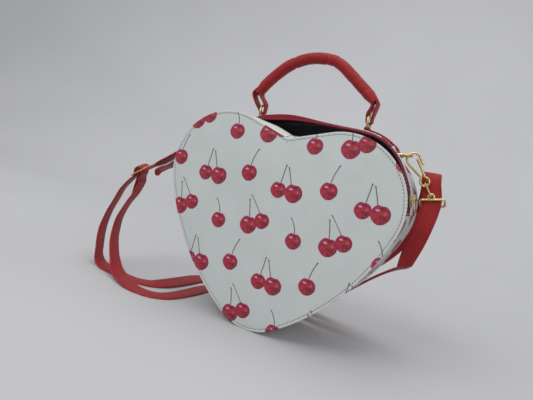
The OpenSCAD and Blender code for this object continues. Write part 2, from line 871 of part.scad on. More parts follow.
strap_reach = bar_at[0] - right_ring_l / 12;
strap_height = bar_at[1] - right_ring_l / 2;
route_shares = [
    [-1.3495, 0.0000, 0.7299, 0.00, 1.00, 0.00], [-1.3419, 0.0000, 0.7644, 0.00, 1.00, 0.00],
    [-1.2889, 0.0000, 0.7989, 0.00, 1.00, 0.00], [-1.2130, 0.0000, 0.8302, 0.00, 1.00, 0.00],
    [-1.1410, 0.0000, 0.8803, 0.00, 1.00, 0.00], [-1.0804, 0.0000, 0.9355, 0.00, 1.00, 0.00],
    [-1.0485, 0.0000, 0.9662, 0.00, 1.00, 0.00], [-1.0553, 0.0000, 0.9912, 0.00, 1.00, 0.00],
    [-1.0887, 0.0000, 0.9850, 0.00, 1.00, 0.00], [-1.1448, 0.0000, 0.9430, 0.00, 1.00, 0.00],
    [-1.2282, -0.0063, 0.8885, 0.00, 1.00, 0.00], [-1.3116, -0.0250, 0.8358, 0.00, 1.00, 0.00],
    [-1.3828, -0.0661, 0.7877, -0.17, 0.96, 0.24], [-1.4213, -0.0672, 0.7676, -0.17, 0.96, 0.24],
    [-1.4562, -0.0794, 0.7716, -0.17, 0.96, 0.24], [-1.4862, -0.0913, 0.7776, -0.17, 0.96, 0.24],
    [-1.5117, -0.0946, 0.7695, -0.17, 0.96, 0.24], [-1.5283, -0.0894, 0.7497, -0.17, 0.96, 0.24],
    [-1.5332, -0.0772, 0.7227, -0.17, 0.96, 0.24], [-1.5439, -0.0658, 0.6938, -0.17, 0.96, 0.24],
    [-1.5828, -0.0617, 0.6633, -0.17, 0.96, 0.24], [-1.6467, -0.1062, 0.5733, -0.30, 0.94, 0.12],
    [-1.6672, -0.1625, 0.4818, -0.30, 0.94, 0.12], [-1.6861, -0.2250, 0.3872, -0.30, 0.94, 0.12],
    [-1.6846, -0.2875, 0.2970, -0.30, 0.94, 0.12], [-1.6634, -0.3500, 0.2218, -0.30, 0.94, 0.12],
    [-1.6300, -0.4000, 0.1378, -0.30, 0.94, 0.12], [-1.6020, -0.4250, 0.0627, -0.30, 0.94, 0.12],
    [-1.5580, -0.4412, 0.0207, -0.20, 0.97, 0.05], [-1.5011, -0.4625, 0.0088, -0.05, 0.99, 0.00],
    [-1.4329, -0.5125, 0.0069, 0.10, 1.00, 0.00], [-1.3040, -0.5437, 0.0066, 0.00, 1.00, 0.00],
    [-1.1524, -0.5650, 0.0069, 0.00, 1.00, 0.00], [-1.0538, -0.5250, 0.0072, -0.25, 0.97, 0.02],
    [-0.9629, -0.4562, 0.0113, -0.60, 0.75, 0.06], [-0.8984, -0.3125, 0.0188, -0.95, 0.30, 0.15],
    [-0.8719, -0.1125, 0.0201, -1.00, 0.10, 0.18], [-0.8529, 0.1125, 0.0201, -1.00, 0.00, 0.18],
    [-0.8415, 0.3375, 0.0175, -1.00, 0.10, 0.15], [-0.8112, 0.5500, 0.0132, -0.93, 0.35, 0.06],
    [-0.7430, 0.7125, 0.0075, -0.64, 0.76, 0.00], [-0.6217, 0.8250, 0.0066, -0.25, 0.97, 0.00],
    [-0.4549, 0.8562, 0.0063, 0.00, 1.00, 0.00], [-0.1895, 0.8625, 0.0063, 0.00, 1.00, 0.00],
    [-0.0453, 0.8625, 0.0094, 0.00, 1.00, 0.00], [0.0755, 0.8562, 0.0283, 0.00, 1.00, 0.00],
    [0.1963, 0.8375, 0.0754, 0.00, 1.00, 0.00], [0.3171, 0.8125, 0.1508, 0.00, 1.00, 0.00],
    [0.4228, 0.7750, 0.2388, 0.10, 1.00, 0.00], [0.5285, 0.7250, 0.3613, 0.30, 0.95, -0.10],
    [0.6342, 0.6875, 0.4745, 0.55, 0.80, -0.20], [0.7248, 0.6562, 0.5781, 0.80, 0.50, -0.25],
    [0.8003, 0.6250, 0.6724, 0.93, 0.30, -0.15], [0.8532, 0.5875, 0.7635, 1.00, 0.10, 0.00],
    [0.8985, 0.5375, 0.8515, 1.00, 0.00, 0.00], [0.9362, 0.4750, 0.9332, 1.00, 0.00, 0.00],
    [0.9574, 0.3937, 1.0086, 1.00, 0.00, 0.00], [0.9598, 0.3125, 1.0777, 1.00, 0.00, 0.00],
    [0.9553, 0.2250, 1.1435, 1.00, 0.00, 0.00], [0.9538, 0.1562, 1.1692, 1.00, 0.00, 0.03],
    [0.9591, 0.0938, 1.1529, 1.00, 0.00, 0.08], [0.9719, 0.0675, 1.1028, 1.00, 0.00, 0.15],
    [0.9909, 0.0587, 1.0514, 1.00, 0.00, 0.22], [1.0053, 0.0362, 1.0013, 1.00, 0.00, 0.25],
    [1.0038, 0.0275, 0.9492, 1.00, 0.00, 0.15], [0.9947, 0.0075, 0.8772, 1.00, 0.00, 0.08],
    [0.9750, -0.0100, 0.7769, 0.98, 0.00, 0.12], [0.9507, 0.0000, 0.6767, 0.97, 0.00, 0.25],
    [0.9325, 0.0500, 0.6046, 0.95, 0.00, 0.32], [0.9174, 0.1500, 0.5733, 0.88, 0.20, 0.30],
    [0.8931, 0.2750, 0.5576, 0.70, 0.50, 0.25], [0.8453, 0.4062, 0.5263, 0.40, 0.85, 0.10],
    [0.7733, 0.4813, 0.4793, 0.15, 0.97, 0.05], [0.6899, 0.5000, 0.4198, 0.05, 1.00, 0.00],
    [0.5762, 0.5000, 0.3289, 0.00, 1.00, 0.00], [0.4549, 0.5037, 0.2318, 0.00, 1.00, 0.00],
    [0.3336, 0.5125, 0.1378, 0.00, 1.00, 0.00], [0.2123, 0.5250, 0.0533, 0.00, 1.00, 0.00],
    [0.1061, 0.5375, 0.0138, 0.00, 1.00, 0.00], [-0.0303, 0.5375, 0.0066, 0.00, 1.00, 0.00],
    [-0.2274, 0.5375, 0.0068, 0.00, 1.00, 0.00], [-0.4170, 0.5125, 0.0063, -0.15, 1.00, 0.00],
    [-0.5459, 0.4375, 0.0063, -0.60, 0.78, 0.00], [-0.6293, 0.2875, 0.0063, -0.90, 0.40, 0.00],
    [-0.6596, 0.1000, 0.0063, -1.00, 0.10, 0.00], [-0.6672, -0.1125, 0.0063, -1.00, 0.00, 0.00],
    [-0.6785, -0.3250, 0.0063, -1.00, 0.10, 0.00], [-0.6975, -0.5375, 0.0063, -1.00, 0.20, 0.00],
    [-0.7392, -0.7063, 0.0063, -0.80, 0.60, 0.00], [-0.8188, -0.8000, 0.0063, -0.35, 0.93, 0.00],
    [-0.9249, -0.8225, 0.0063, 0.00, 1.00, 0.00], [-1.0235, -0.8050, 0.0113, 0.10, 1.00, 0.00],
    [-1.1069, -0.7537, 0.0207, 0.20, 0.97, 0.00], [-1.1903, -0.6875, 0.0251, 0.20, 0.97, 0.00],
    [-1.2623, -0.6312, 0.0451, 0.00, 1.00, 0.05], [-1.3230, -0.5750, 0.0815, -0.20, 0.97, 0.05],
    [-1.3874, -0.5188, 0.1378, -0.30, 0.94, 0.12], [-1.4519, -0.4437, 0.2068, -0.30, 0.94, 0.12],
    [-1.4966, -0.3688, 0.2794, -0.30, 0.94, 0.12], [-1.5284, -0.2750, 0.3709, -0.30, 0.94, 0.12],
    [-1.5254, -0.1688, 0.4749, -0.30, 0.94, 0.12], [-1.5057, -0.0813, 0.5608, -0.17, 0.96, 0.24],
    [-1.4889, -0.0251, 0.6453, -0.17, 0.96, 0.24], [-1.4857, -0.0454, 0.6873, -0.17, 0.96, 0.24],
    [-1.4681, -0.0580, 0.7223, -0.17, 0.96, 0.24], [-1.4661, -0.0706, 0.7483, -0.17, 0.96, 0.24],
    [-1.4796, -0.0809, 0.7610, -0.17, 0.96, 0.24], [-1.4961, -0.0841, 0.7576, -0.17, 0.96, 0.24],
    [-1.5057, -0.0809, 0.7459, -0.17, 0.96, 0.24], [-1.4968, -0.0706, 0.7306, -0.17, 0.96, 0.24],
    [-1.4967, -0.0591, 0.7080, -0.17, 0.96, 0.24], [-1.5099, -0.0443, 0.6711, -0.17, 0.96, 0.24],
    [-1.5237, -0.0284, 0.6317, -0.17, 0.96, 0.24], [-1.5409, -0.0077, 0.5809, -0.17, 0.96, 0.24],
    [-1.5572, 0.0137, 0.5291, -0.17, 0.96, 0.24]];
route_steps = 3;

function place(share) = [share[0] * strap_reach, band_y + share[1] * bag_depth, share[2] * strap_height];
function lie(share) = [share[3], share[4], share[5]];
// A smooth curve through four neighbours, t of the way from b to c
function smooth(a, b, c, d, t) = (2 * b + (c - a) * t + (2 * a - 5 * b + 4 * c - d) * t * t
    + (3 * b - a - 3 * c + d) * t * t * t) / 2;
function smoothed(points) = [for (i = [0:len(points) - 2], j = [0:route_steps - 1])
    smooth(points[max(i - 1, 0)], points[i], points[i + 1], points[min(i + 2, len(points) - 1)],
        j / route_steps), for (last = [len(points) - 1]) points[last]];
function unit(v) = v / norm(v);

route = smoothed([for (share = route_shares) place(share)]);
route_lie = smoothed([for (share = route_shares) lie(share)]);
route_end = len(route) - 1;
function heading(i) = unit(route[min(i + 1, route_end)] - route[max(i - 1, 0)]);
function across(i) = unit(route_lie[i] - (route_lie[i] * heading(i)) * heading(i));
function corners(i) = [for (c = [[-1, -1], [1, -1], [1, 1], [-1, 1]])
    route[i] + c[0] * strap_w / 2 * across(i) + c[1] * strap_t / 2 * cross(heading(i), across(i))];

module shoulder_strap() {
    walls = [for (i = [0:route_end - 1], k = [0:3]) each [
        [4 * i + k, 4 * i + 4 + k, 4 * i + (k + 1) % 4],
        [4 * i + 4 + k, 4 * i + 4 + (k + 1) % 4, 4 * i + (k + 1) % 4]]];
    last = 4 * route_end;
    ends = [[0, 1, 2], [0, 2, 3], [last, last + 2, last + 1], [last, last + 3, last + 2]];
    color(red)
        polyhedron([for (i = [0:route_end]) each corners(i)], concat(walls, ends));
}

// Strap adjuster: a wire frame with a middle bar, flat on the strap

adjuster_share = [-1.486, -0.075, 0.7456];
adjuster_turn = [163, 35, 180];
adjuster_wire = 0.9;

module strap_adjuster() {
    long = strap_w + 3 * adjuster_wire + seat_gap;
    short = adjuster_l - 2 * adjuster_wire;
    color(gold)
        translate(place(adjuster_share))
            rotate(adjuster_turn) {
                translate([ring_corner - short / 2, -long / 2, 0])
                    bent([[short - 2 * ring_corner, ring_corner, 90], [long - 2 * ring_corner, ring_corner, 90],
                        [short - 2 * ring_corner, ring_corner, 90], [long - 2 * ring_corner, ring_corner, 90]],
                        adjuster_wire);
                rotate([90, 0, 0])
                    cylinder(r = adjuster_wire * (1 - joint_share), h = long, center = true);
            }
}

front_panel();
front_foam();
front_lining();
back_panel();
back_foam();
back_lining();
base_gusset();
base_lining();
front_strip();
rear_strip();
rear_strip_lining();
front_zip_tape();
rear_zip_tape();
front_zip_teeth();
rear_zip_teeth();
zip_stops();
zip_slider();
zip_pull();
left_band();
right_band();
left_handle_ring();
right_handle_ring();
handle_grip();
handle_core();
left_handle_end();
right_handle_end();
left_d_ring();
right_d_ring();
left_hook();
right_hook();
left_gate();
right_gate();
left_swivel_link();
right_swivel_link();
left_strap_ring();
right_strap_ring();
shoulder_strap();
strap_adjuster();
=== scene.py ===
"""Looks of the heart-shaped handbag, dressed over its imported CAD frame.

Lengths inside the classes are millimetres in the frame of the CAD: X to the right, Y to the
back, Z up, with the tip of the heart at the origin. Meshes are written in metres.
"""
import logging
import math
from dataclasses import dataclass, field
from enum import Enum
from typing import Callable, Optional, Sequence

import bmesh
import bpy
from mathutils import Matrix, Vector, noise


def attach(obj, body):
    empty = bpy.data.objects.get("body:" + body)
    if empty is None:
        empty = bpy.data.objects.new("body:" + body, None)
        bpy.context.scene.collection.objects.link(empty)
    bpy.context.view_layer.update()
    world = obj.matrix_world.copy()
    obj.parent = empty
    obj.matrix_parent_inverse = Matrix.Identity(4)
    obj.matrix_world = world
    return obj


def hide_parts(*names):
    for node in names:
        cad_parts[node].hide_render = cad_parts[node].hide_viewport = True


LOG = logging.getLogger("handbag")
MM = 0.001
Point = tuple[float, float]
Colour = tuple[float, float, float]
Section = list[Vector]
Shell = tuple[list[Vector], list[list[int]]]
Station = Callable[[float], Point]
RibPlace = Callable[[float, float], Vector]
Piece = bpy.types.Object
Socket = bpy.types.NodeSocket

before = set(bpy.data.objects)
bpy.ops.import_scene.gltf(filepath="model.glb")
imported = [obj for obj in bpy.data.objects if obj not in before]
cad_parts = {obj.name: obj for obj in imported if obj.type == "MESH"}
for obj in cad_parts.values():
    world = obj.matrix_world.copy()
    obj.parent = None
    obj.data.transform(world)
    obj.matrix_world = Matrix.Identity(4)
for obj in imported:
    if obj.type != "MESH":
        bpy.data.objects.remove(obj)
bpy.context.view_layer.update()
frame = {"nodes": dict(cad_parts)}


class Body(Enum):
    """The moving bodies that pieces ride on."""

    BAG = "bag"
    HANDLE = "handle"


class Slot(Enum):
    """Material slots of the record."""

    PRINTED = "printed_leather"
    RED = "red_leather"
    LINING = "lining"
    FOAM = "foam"
    FILLER = "filler"
    TAPE = "zip_tape"
    TEETH = "zip_teeth"


# Small geometry helpers


def smoothstep(value: float, low: float = 0.0, high: float = 1.0) -> float:
    """Ease from 0 to 1 between two limits.

    Args:
        value: The number to ease.
        low: Where the ease starts.
        high: Where the ease ends.

    Returns:
        A share from 0 to 1.
    """
    share = min(1.0, max(0.0, (value - low) / (high - low)))
    return share * share * (3.0 - 2.0 * share)


def mix(a: float, b: float, share: float) -> float:
    """Blend two numbers."""
    return a + (b - a) * share


def soft_min(a: float, b: float, width: float) -> float:
    """The smaller of two numbers, rounded where they are close.

    Args:
        a: First number.
        b: Second number.
        width: How far apart the two are blended.

    Returns:
        The rounded minimum.
    """
    low = min(a, b)
    return low - width * math.log(math.exp((low - a) / width) + math.exp((low - b) / width))


def lump(point: Vector, size: float, amount: float, seed: float = 0.0) -> float:
    """Smooth, repeatable unevenness for leather and cloth.

    Args:
        point: Place in millimetres.
        size: Width of one lump in millimetres.
        amount: Height of the lumps in millimetres.
        seed: Offset that gives each piece its own pattern.

    Returns:
        A height between about -amount and amount.
    """
    return amount * noise.noise(Vector((point.x / size + seed, point.y / size - seed, point.z / size)))


def unit(vector: Vector) -> Vector:
    """A copy of the vector with length 1."""
    return vector.normalized()


def build_mesh(name: str, points: Sequence[Vector], faces: Sequence[Sequence[int]],
               uvs: Optional[Sequence[Point]] = None, smooth_angle: float = 50.0) -> Piece:
    """Make a mesh object from points in millimetres.

    Args:
        name: Name of the object.
        points: Vertices in millimetres.
        faces: Vertex indices of each face.
        uvs: One (u, v) per vertex in millimetres, kept in metres for the materials.
        smooth_angle: Edges sharper than this stay sharp, in degrees.

    Returns:
        The new object, linked to the scene.
    """
    mesh = bpy.data.meshes.new(name)
    mesh.from_pydata([tuple(p * MM) for p in points], [], [tuple(f) for f in faces])
    mesh.validate(clean_customdata=False)
    solid = bmesh.new()
    solid.from_mesh(mesh)
    bmesh.ops.recalc_face_normals(solid, faces=solid.faces)
    solid.to_mesh(mesh)
    solid.free()
    if uvs is not None:
        layer = mesh.uv_layers.new(name="cut")
        for loop in mesh.loops:
            u, v = uvs[loop.vertex_index]
            layer.data[loop.index].uv = (u * MM, v * MM)
    mesh.update()
    mesh.shade_smooth()
    mesh.set_sharp_from_angle(angle=math.radians(smooth_angle))
    piece = bpy.data.objects.new(name, mesh)
    bpy.context.scene.collection.objects.link(piece)
    return piece


def skin(name: str, sections: Sequence[Section], uvs: Optional[Sequence[Sequence[Point]]] = None,
         closed: bool = False, capped: bool = True, smooth_angle: float = 50.0) -> Piece:
    """Stretch a closed skin over sections that are loops of the same number of points.

    Args:
        name: Name of the object.
        sections: The loops, in order.
        uvs: Print coordinates of every point, in millimetres.
        closed: True where the last section joins the first.
        capped: True where the end sections are filled.
        smooth_angle: Edges sharper than this stay sharp, in degrees.

    Returns:
        The new object.
    """
    count = len(sections[0])
    points = [p for section in sections for p in section]
    flat = [uv for row in uvs for uv in row] if uvs is not None else None
    faces: list[list[int]] = []
    last = len(sections) if closed else len(sections) - 1
    for i in range(last):
        a, b = i * count, (i + 1) % len(sections) * count
        for j in range(count):
            k = (j + 1) % count
            faces.append([a + j, a + k, b + k, b + j])
    if capped and not closed:
        faces.append(list(range(count))[::-1])
        start = (len(sections) - 1) * count
        faces.append(list(range(start, start + count)))
    return build_mesh(name, points, faces, flat, smooth_angle)


def joined(name: str, parts: Sequence[tuple[Sequence[Vector], Sequence[Sequence[int]]]],
           smooth_angle: float = 50.0) -> Piece:
    """Join several loose shells into one object.

    Args:
        name: Name of the object.
        parts: (points, faces) of each shell, in millimetres.
        smooth_angle: Edges sharper than this stay sharp, in degrees.

    Returns:
        The new object.
    """
    points: list[Vector] = []
    faces: list[list[int]] = []
    for shell_points, shell_faces in parts:
        base = len(points)
        points.extend(shell_points)
        faces.extend([base + i for i in face] for face in shell_faces)
    return build_mesh(name, points, faces, None, smooth_angle)


def spread(points: Sequence[Vector], step: float, closed: bool = False) -> list[tuple[Vector, Vector, float]]:
    """Walk along a line of points in equal steps.

    Args:
        points: The line.
        step: Wanted distance between two stops.
        closed: True where the line returns to its start.

    Returns:
        (place, direction, index along the line) of each stop.
    """
    line = list(points) + ([points[0]] if closed else [])
    lengths = [(line[i + 1] - line[i]).length for i in range(len(line) - 1)]
    total = sum(lengths)
    count = max(1, round(total / step))
    stops: list[tuple[Vector, Vector, float]] = []
    i, passed = 0, 0.0
    for n in range(count if closed else count + 1):
        target = min(total * n / count, total - 1e-6)
        while passed + lengths[i] < target and i < len(lengths) - 1:
            passed += lengths[i]
            i += 1
        share = (target - passed) / max(lengths[i], 1e-9)
        stops.append((line[i].lerp(line[i + 1], share), unit(line[i + 1] - line[i]), i + share))
    return stops


def stitch_shell(at: Vector, along: Vector, out: Vector, length: float, radius: float) -> Shell:
    """One thread stitch that dips into the leather at both ends.

    Args:
        at: Middle of the stitch on the surface.
        along: Direction of the seam.
        out: Direction away from the surface.
        length: Length of the stitch.
        radius: Thickness of the thread.

    Returns:
        (points, faces) of the stitch.
    """
    side, sides = unit(along.cross(out)), 6
    points: list[Vector] = []
    shares = (-0.5, -0.38, -0.15, 0.15, 0.38, 0.5)
    for share in shares:
        thick = radius * (0.45 if abs(share) > 0.45 else 1.0)
        rise = radius * (0.9 - 9.0 * max(0.0, abs(share) - 0.2) ** 1.6 * 2.0)
        centre = at + along * (share * length) + out * rise
        for k in range(sides):
            a = math.tau * k / sides
            points.append(centre + side * (thick * math.cos(a)) + out * (thick * 0.8 * math.sin(a)))
    faces: list[list[int]] = []
    for i in range(len(shares) - 1):
        for k in range(sides):
            m = (k + 1) % sides
            faces.append([i * sides + k, i * sides + m, (i + 1) * sides + m, (i + 1) * sides + k])
    end = (len(shares) - 1) * sides
    faces.append(list(range(sides))[::-1])
    faces.append([end + k for k in range(sides)])
    return points, faces


def seam(name: str, line: Sequence[Vector], out_at: Callable[[float], Vector], pitch: float = 3.1,
         length: float = 2.5, radius: float = 0.28, closed: bool = False) -> Piece:
    """A row of stitches along a line.

    Args:
        name: Name of the object.
        line: Points of the seam on the surface.
        out_at: Gives the direction away from the surface at an index along the line.
        pitch: Distance from stitch to stitch.
        length: Length of one stitch.
        radius: Thickness of the thread.
        closed: True where the seam returns to its start.

    Returns:
        The new object.
    """
    shells = [stitch_shell(at, along, out_at(index), length, radius)
              for at, along, index in spread(line, pitch, closed)]
    return joined(name, shells, 80.0)


def dress(piece: Piece, material: bpy.types.Material, slot: Slot, body: Body = Body.BAG) -> Piece:
    """Give a piece its material and the body it rides on, and log its slot of the record.

    Args:
        piece: The finished object.
        material: Its material.
        slot: The record's slot.
        body: The body that carries it.

    Returns:
        The same object.
    """
    piece.data.materials.clear()
    piece.data.materials.append(material)
    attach(piece, body.value)
    LOG.info("%s rides on %s in %s", piece.name, body.value, slot.value)
    return piece


# The shape of the bag


@dataclass
class HeartOutline:
    """Front-view outline of the bag: a tip arc, two flanks, two lobes and the cleft.

    Every station is a function that takes an inset in millimetres and gives (x, z), so one list of
    stations serves the panels, the gusset, the tapes and the lining at their own insets.
    """

    width: float = 240.0
    height: float = 204.0
    lobe_r: float = 61.0
    tip_r: float = 51.0
    flank_r: float = 227.0
    cleft_drop: float = 16.0
    tip_steps: int = 16
    flank_steps: int = 22
    lobe_steps: int = 40
    cleft_steps: int = 8

    def __post_init__(self) -> None:
        """Work out the centres and the angles where the arcs meet."""
        self.lobe_x = self.width / 2 - self.lobe_r
        self.lobe_z = self.height - self.lobe_r
        self.cleft_z = self.height - self.cleft_drop
        span = math.hypot(self.lobe_x, self.lobe_z - self.tip_r)
        outer, inner = self.flank_r - self.tip_r, self.flank_r - self.lobe_r
        along = (outer ** 2 - inner ** 2 + span ** 2) / (2 * span)
        aside = math.sqrt(outer ** 2 - along ** 2)
        ux, uz = self.lobe_x / span, (self.lobe_z - self.tip_r) / span
        self.flank_x = along * ux - aside * uz
        self.flank_z = self.tip_r + along * uz + aside * ux
        self.tip_end = math.atan2(self.tip_r - self.flank_z, -self.flank_x)
        self.lobe_start = math.atan2(self.lobe_z - self.flank_z, self.lobe_x - self.flank_x)
        reach = math.hypot(self.lobe_x, self.lobe_z - self.cleft_z)
        self.lobe_end = math.atan2(self.cleft_z - self.lobe_z, -self.lobe_x) - math.acos(self.lobe_r / reach)
        self.slope = self.lobe_end - math.pi / 2

    def arc(self, x: float, z: float, r: float, a0: float, a1: float, steps: int, side: int,
            first: bool) -> list[Station]:
        """Stations along one arc.

        Args:
            x: Centre, to the right.
            z: Centre, upwards.
            r: Radius of the outline.
            a0: First angle in radians.
            a1: Last angle in radians.
            steps: Number of steps.
            side: 1 for the right half, -1 for the left.
            first: True to include the first angle.

        Returns:
            One station per step.
        """
        def station(a: float) -> Station:
            """The station at an angle."""
            return lambda d: (side * (x + (r - d) * math.cos(a)), z + (r - d) * math.sin(a))
        return [station(a0 + (a1 - a0) * i / steps) for i in range(0 if first else 1, steps + 1)]

    def lower(self, side: int) -> list[Station]:
        """Stations from the tip up to the widest place of the lobe on that side."""
        return (self.arc(0, self.tip_r, self.tip_r, -math.pi / 2, self.tip_end, self.tip_steps, side, True)
                + self.arc(self.flank_x, self.flank_z, self.flank_r, self.tip_end, self.lobe_start,
                           self.flank_steps, side, False)
                + self.arc(self.lobe_x, self.lobe_z, self.lobe_r, self.lobe_start, 0.0, self.lobe_steps // 3,
                           side, False))

    def upper(self, side: int) -> list[Station]:
        """Stations from the widest place of a lobe over its top and down to the cleft.

        Args:
            side: 1 for the right half, -1 for the left.

        Returns:
            The stations in order.
        """
        stations = self.arc(self.lobe_x, self.lobe_z, self.lobe_r, 0.0, self.lobe_end, self.lobe_steps, side,
                            True)
        top, slope, cleft_z = stations[-1], self.slope, self.cleft_z

        def straight(share: float) -> Station:
            """The station at a share of the straight edge that leads to the cleft."""
            def place(d: float) -> Point:
                """The place at an inset."""
                x, z = top(d)
                return mix(x, 0.0, share), mix(z, cleft_z - d / math.cos(slope), share)
            return place
        return stations + [straight(i / self.cleft_steps) for i in range(1, self.cleft_steps + 1)]

    def whole(self) -> list[Station]:
        """Stations once round the heart, from the tip up the right side."""
        right = self.lower(1) + self.upper(1)[1:]
        left = self.lower(-1) + self.upper(-1)[1:]
        return right + left[-2:0:-1]


@dataclass
class Rib:
    """A line across the gusset: gives a point for a depth and an inset, and its run along the bag."""

    at: RibPlace
    run: float = 0.0
    x: float = 0.0


@dataclass
class RearSwell:
    """How the soft rear half of the top rises over the open mouth, highest towards the right lobe."""

    right: float = 9.3
    left: float = 1.2
    ease_from: float = -58.0
    ease_to: float = 52.0
    middle: float = 4.0
    middle_x: float = -4.0
    middle_w: float = 34.0
    fade_from: float = 12.0
    fade_to: float = 37.5

    def lift(self, x: float, y: float, above: float = 1.0) -> float:
        """Height that the rear of the top gains.

        Args:
            x: Place across the bag.
            y: Depth in the bag.
            above: Share that fades the rise out down the lobes.

        Returns:
            The rise in millimetres.
        """
        across = smoothstep(x, self.ease_from, self.ease_to)
        middle = self.middle * math.exp(-((x - self.middle_x) / self.middle_w) ** 2)
        deep = 1.0 - smoothstep(y, self.fade_from, self.fade_to)
        return (mix(self.left, self.right, across) + middle) * deep * above


@dataclass
class BagShape:
    """The solid form that every sewn piece of the bag follows."""

    heart: HeartOutline = field(default_factory=HeartOutline)
    swell: RearSwell = field(default_factory=RearSwell)
    front_y: float = -40.0
    back_y: float = 40.0
    skin_t: float = 1.2
    rim: float = 1.5
    lining_t: float = 0.8
    tape_t: float = 0.7
    zip_y: float = -13.0
    valley_y: float = 10.0
    valley_round: float = 2.5
    valley_join: float = 1.1
    seat: float = 0.35
    rise_from: float = 22.0
    rise_to: float = 84.0
    gap: float = 1.3
    gape: float = 6.0
    lobe_steps: int = 26
    bridge_steps: int = 34

    def ribs(self, stations: Sequence[Station], run: float = 0.0) -> list[Rib]:
        """Ribs along stations of the heart.

        Args:
            stations: Stations of the outline, in order.
            run: Distance along the bag at the first one.

        Returns:
            One rib per station.
        """
        made: list[Rib] = []
        before: Optional[Point] = None
        for station in stations:
            here = station(self.rim)
            if before is not None:
                run += math.hypot(here[0] - before[0], here[1] - before[1])
            before = here

            def at(y: float, d: float, place: Station = station) -> Vector:
                """The point at a depth and an inset."""
                x, z = place(d)
                return Vector((x, y, z))
            made.append(Rib(at, run, here[0]))
        return made

    def top_z(self, x: float, y: float, d: float) -> float:
        """Height of the rear top between the lobes, where it sinks into the cleft at the back.

        Args:
            x: Place across the bag.
            y: Depth in the bag.
            d: Inset from the outside.

        Returns:
            The height in millimetres.
        """
        heart = self.heart
        low = heart.cleft_z - d / math.cos(heart.slope)
        rise = (heart.height - d - low) / (self.back_y - self.valley_y)
        valley = low + (self.back_y - y) * rise + math.hypot(x, self.valley_round) * math.tan(heart.slope)
        return soft_min(heart.height - d, valley, self.valley_join) + self.seat

    def rear_ribs(self) -> list[Rib]:
        """Ribs of the rear strip: up the right lobe, across the cleft and down the left lobe."""
        heart, swell = self.heart, self.swell
        ribs: list[Rib] = []
        steps = self.lobe_steps

        def on_lobe(side: int, a: float) -> RibPlace:
            """The rib at an angle over a lobe."""
            above = smoothstep(math.degrees(a), self.rise_from, self.rise_to)

            def at(y: float, d: float) -> Vector:
                """The point at a depth and an inset."""
                r = heart.lobe_r - d
                x = side * (heart.lobe_x + r * math.cos(a))
                out = Vector((side * math.cos(a), 0.0, math.sin(a)))
                rise = swell.lift(x, y, above)
                raised = rise * (0.5 * out + Vector((0, 0, 0.5)))
                return Vector((x, y, heart.lobe_z + r * math.sin(a))) + raised
            return at

        def across(x: float) -> RibPlace:
            """The rib at a place between the lobes."""
            def at(y: float, d: float) -> Vector:
                """The point at a depth and an inset."""
                return Vector((x, y, self.top_z(x, y, d) + swell.lift(x, y)))
            return at

        places = [on_lobe(1, math.pi / 2 * i / steps) for i in range(steps)]
        bridge = self.bridge_steps
        places += [across(heart.lobe_x * (1 - 2 * i / bridge)) for i in range(bridge + 1)]
        places += [on_lobe(-1, math.pi / 2 * i / steps) for i in range(steps - 1, -1, -1)]
        before: Optional[Vector] = None
        run = 0.0
        for place in places:
            here = place(2.0, self.rim)
            if before is not None:
                run += (here - before).length
            before = here
            ribs.append(Rib(place, run, here.x))
        return ribs

    def mouth_gap(self, x: float) -> float:
        """Half the gap between the two tapes.

        Args:
            x: Place across the bag.

        Returns:
            The half gap in millimetres.
        """
        reach = self.heart.lobe_x
        spread_out = self.gape * (1 + math.cos(math.pi * x / reach)) / 2 if abs(x) < reach else 0.0
        return self.gap + spread_out


def rows(y0: float, y1: float, count: int, lip: float = 0.35) -> list[float]:
    """Depths across a strip, with a close pair at each edge so that the edge can be rounded.

    Args:
        y0: First depth.
        y1: Last depth.
        count: Steps between the two.
        lip: Width of the rounded edge.

    Returns:
        The depths in order.
    """
    inner = [mix(y0 + lip, y1 - lip, i / count) for i in range(count + 1)]
    return [y0] + inner + [y1]


def strip(name: str, ribs: Sequence[Rib], y_range: Callable[[Rib], Point],
          inset: Callable[[Rib, float, float], float], thick: float, count: int = 12,
          uv_start: Point = (0.0, 0.0),
          shift: Optional[Callable[[Rib, float, float], Vector]] = None) -> Piece:
    """A strip of sheet that follows ribs, with rounded edges.

    Args:
        name: Name of the object.
        ribs: The ribs it follows.
        y_range: Gives the first and last depth on a rib.
        inset: Gives the inset of the outer face from (rib, depth, share across).
        thick: Thickness of the sheet.
        count: Steps across the strip.
        uv_start: Print coordinates of the first corner.
        shift: Optional displacement from (rib, depth, share across).

    Returns:
        The new object.
    """
    sections: list[Section] = []
    uvs: list[list[Point]] = []
    for rib in ribs:
        y0, y1 = y_range(rib)
        ys = rows(y0, y1, count)
        outer: Section = []
        inner: Section = []
        for n, y in enumerate(ys):
            share = (y - y0) / (y1 - y0)
            d = inset(rib, y, share)
            edge = n in (0, len(ys) - 1)
            push = shift(rib, y, share) if shift else Vector((0, 0, 0))
            round_off = 0.35 * thick if edge else 0.0
            outer.append(rib.at(y, d + round_off) + push)
            inner.append(rib.at(y, d + thick - round_off) + push)
        sections.append(outer + inner[::-1])
        row = [(rib.run + uv_start[0], y + uv_start[1]) for y in ys]
        uvs.append(row + row[::-1])
    return skin(name, sections, uvs)


# Sewn pieces of the bag


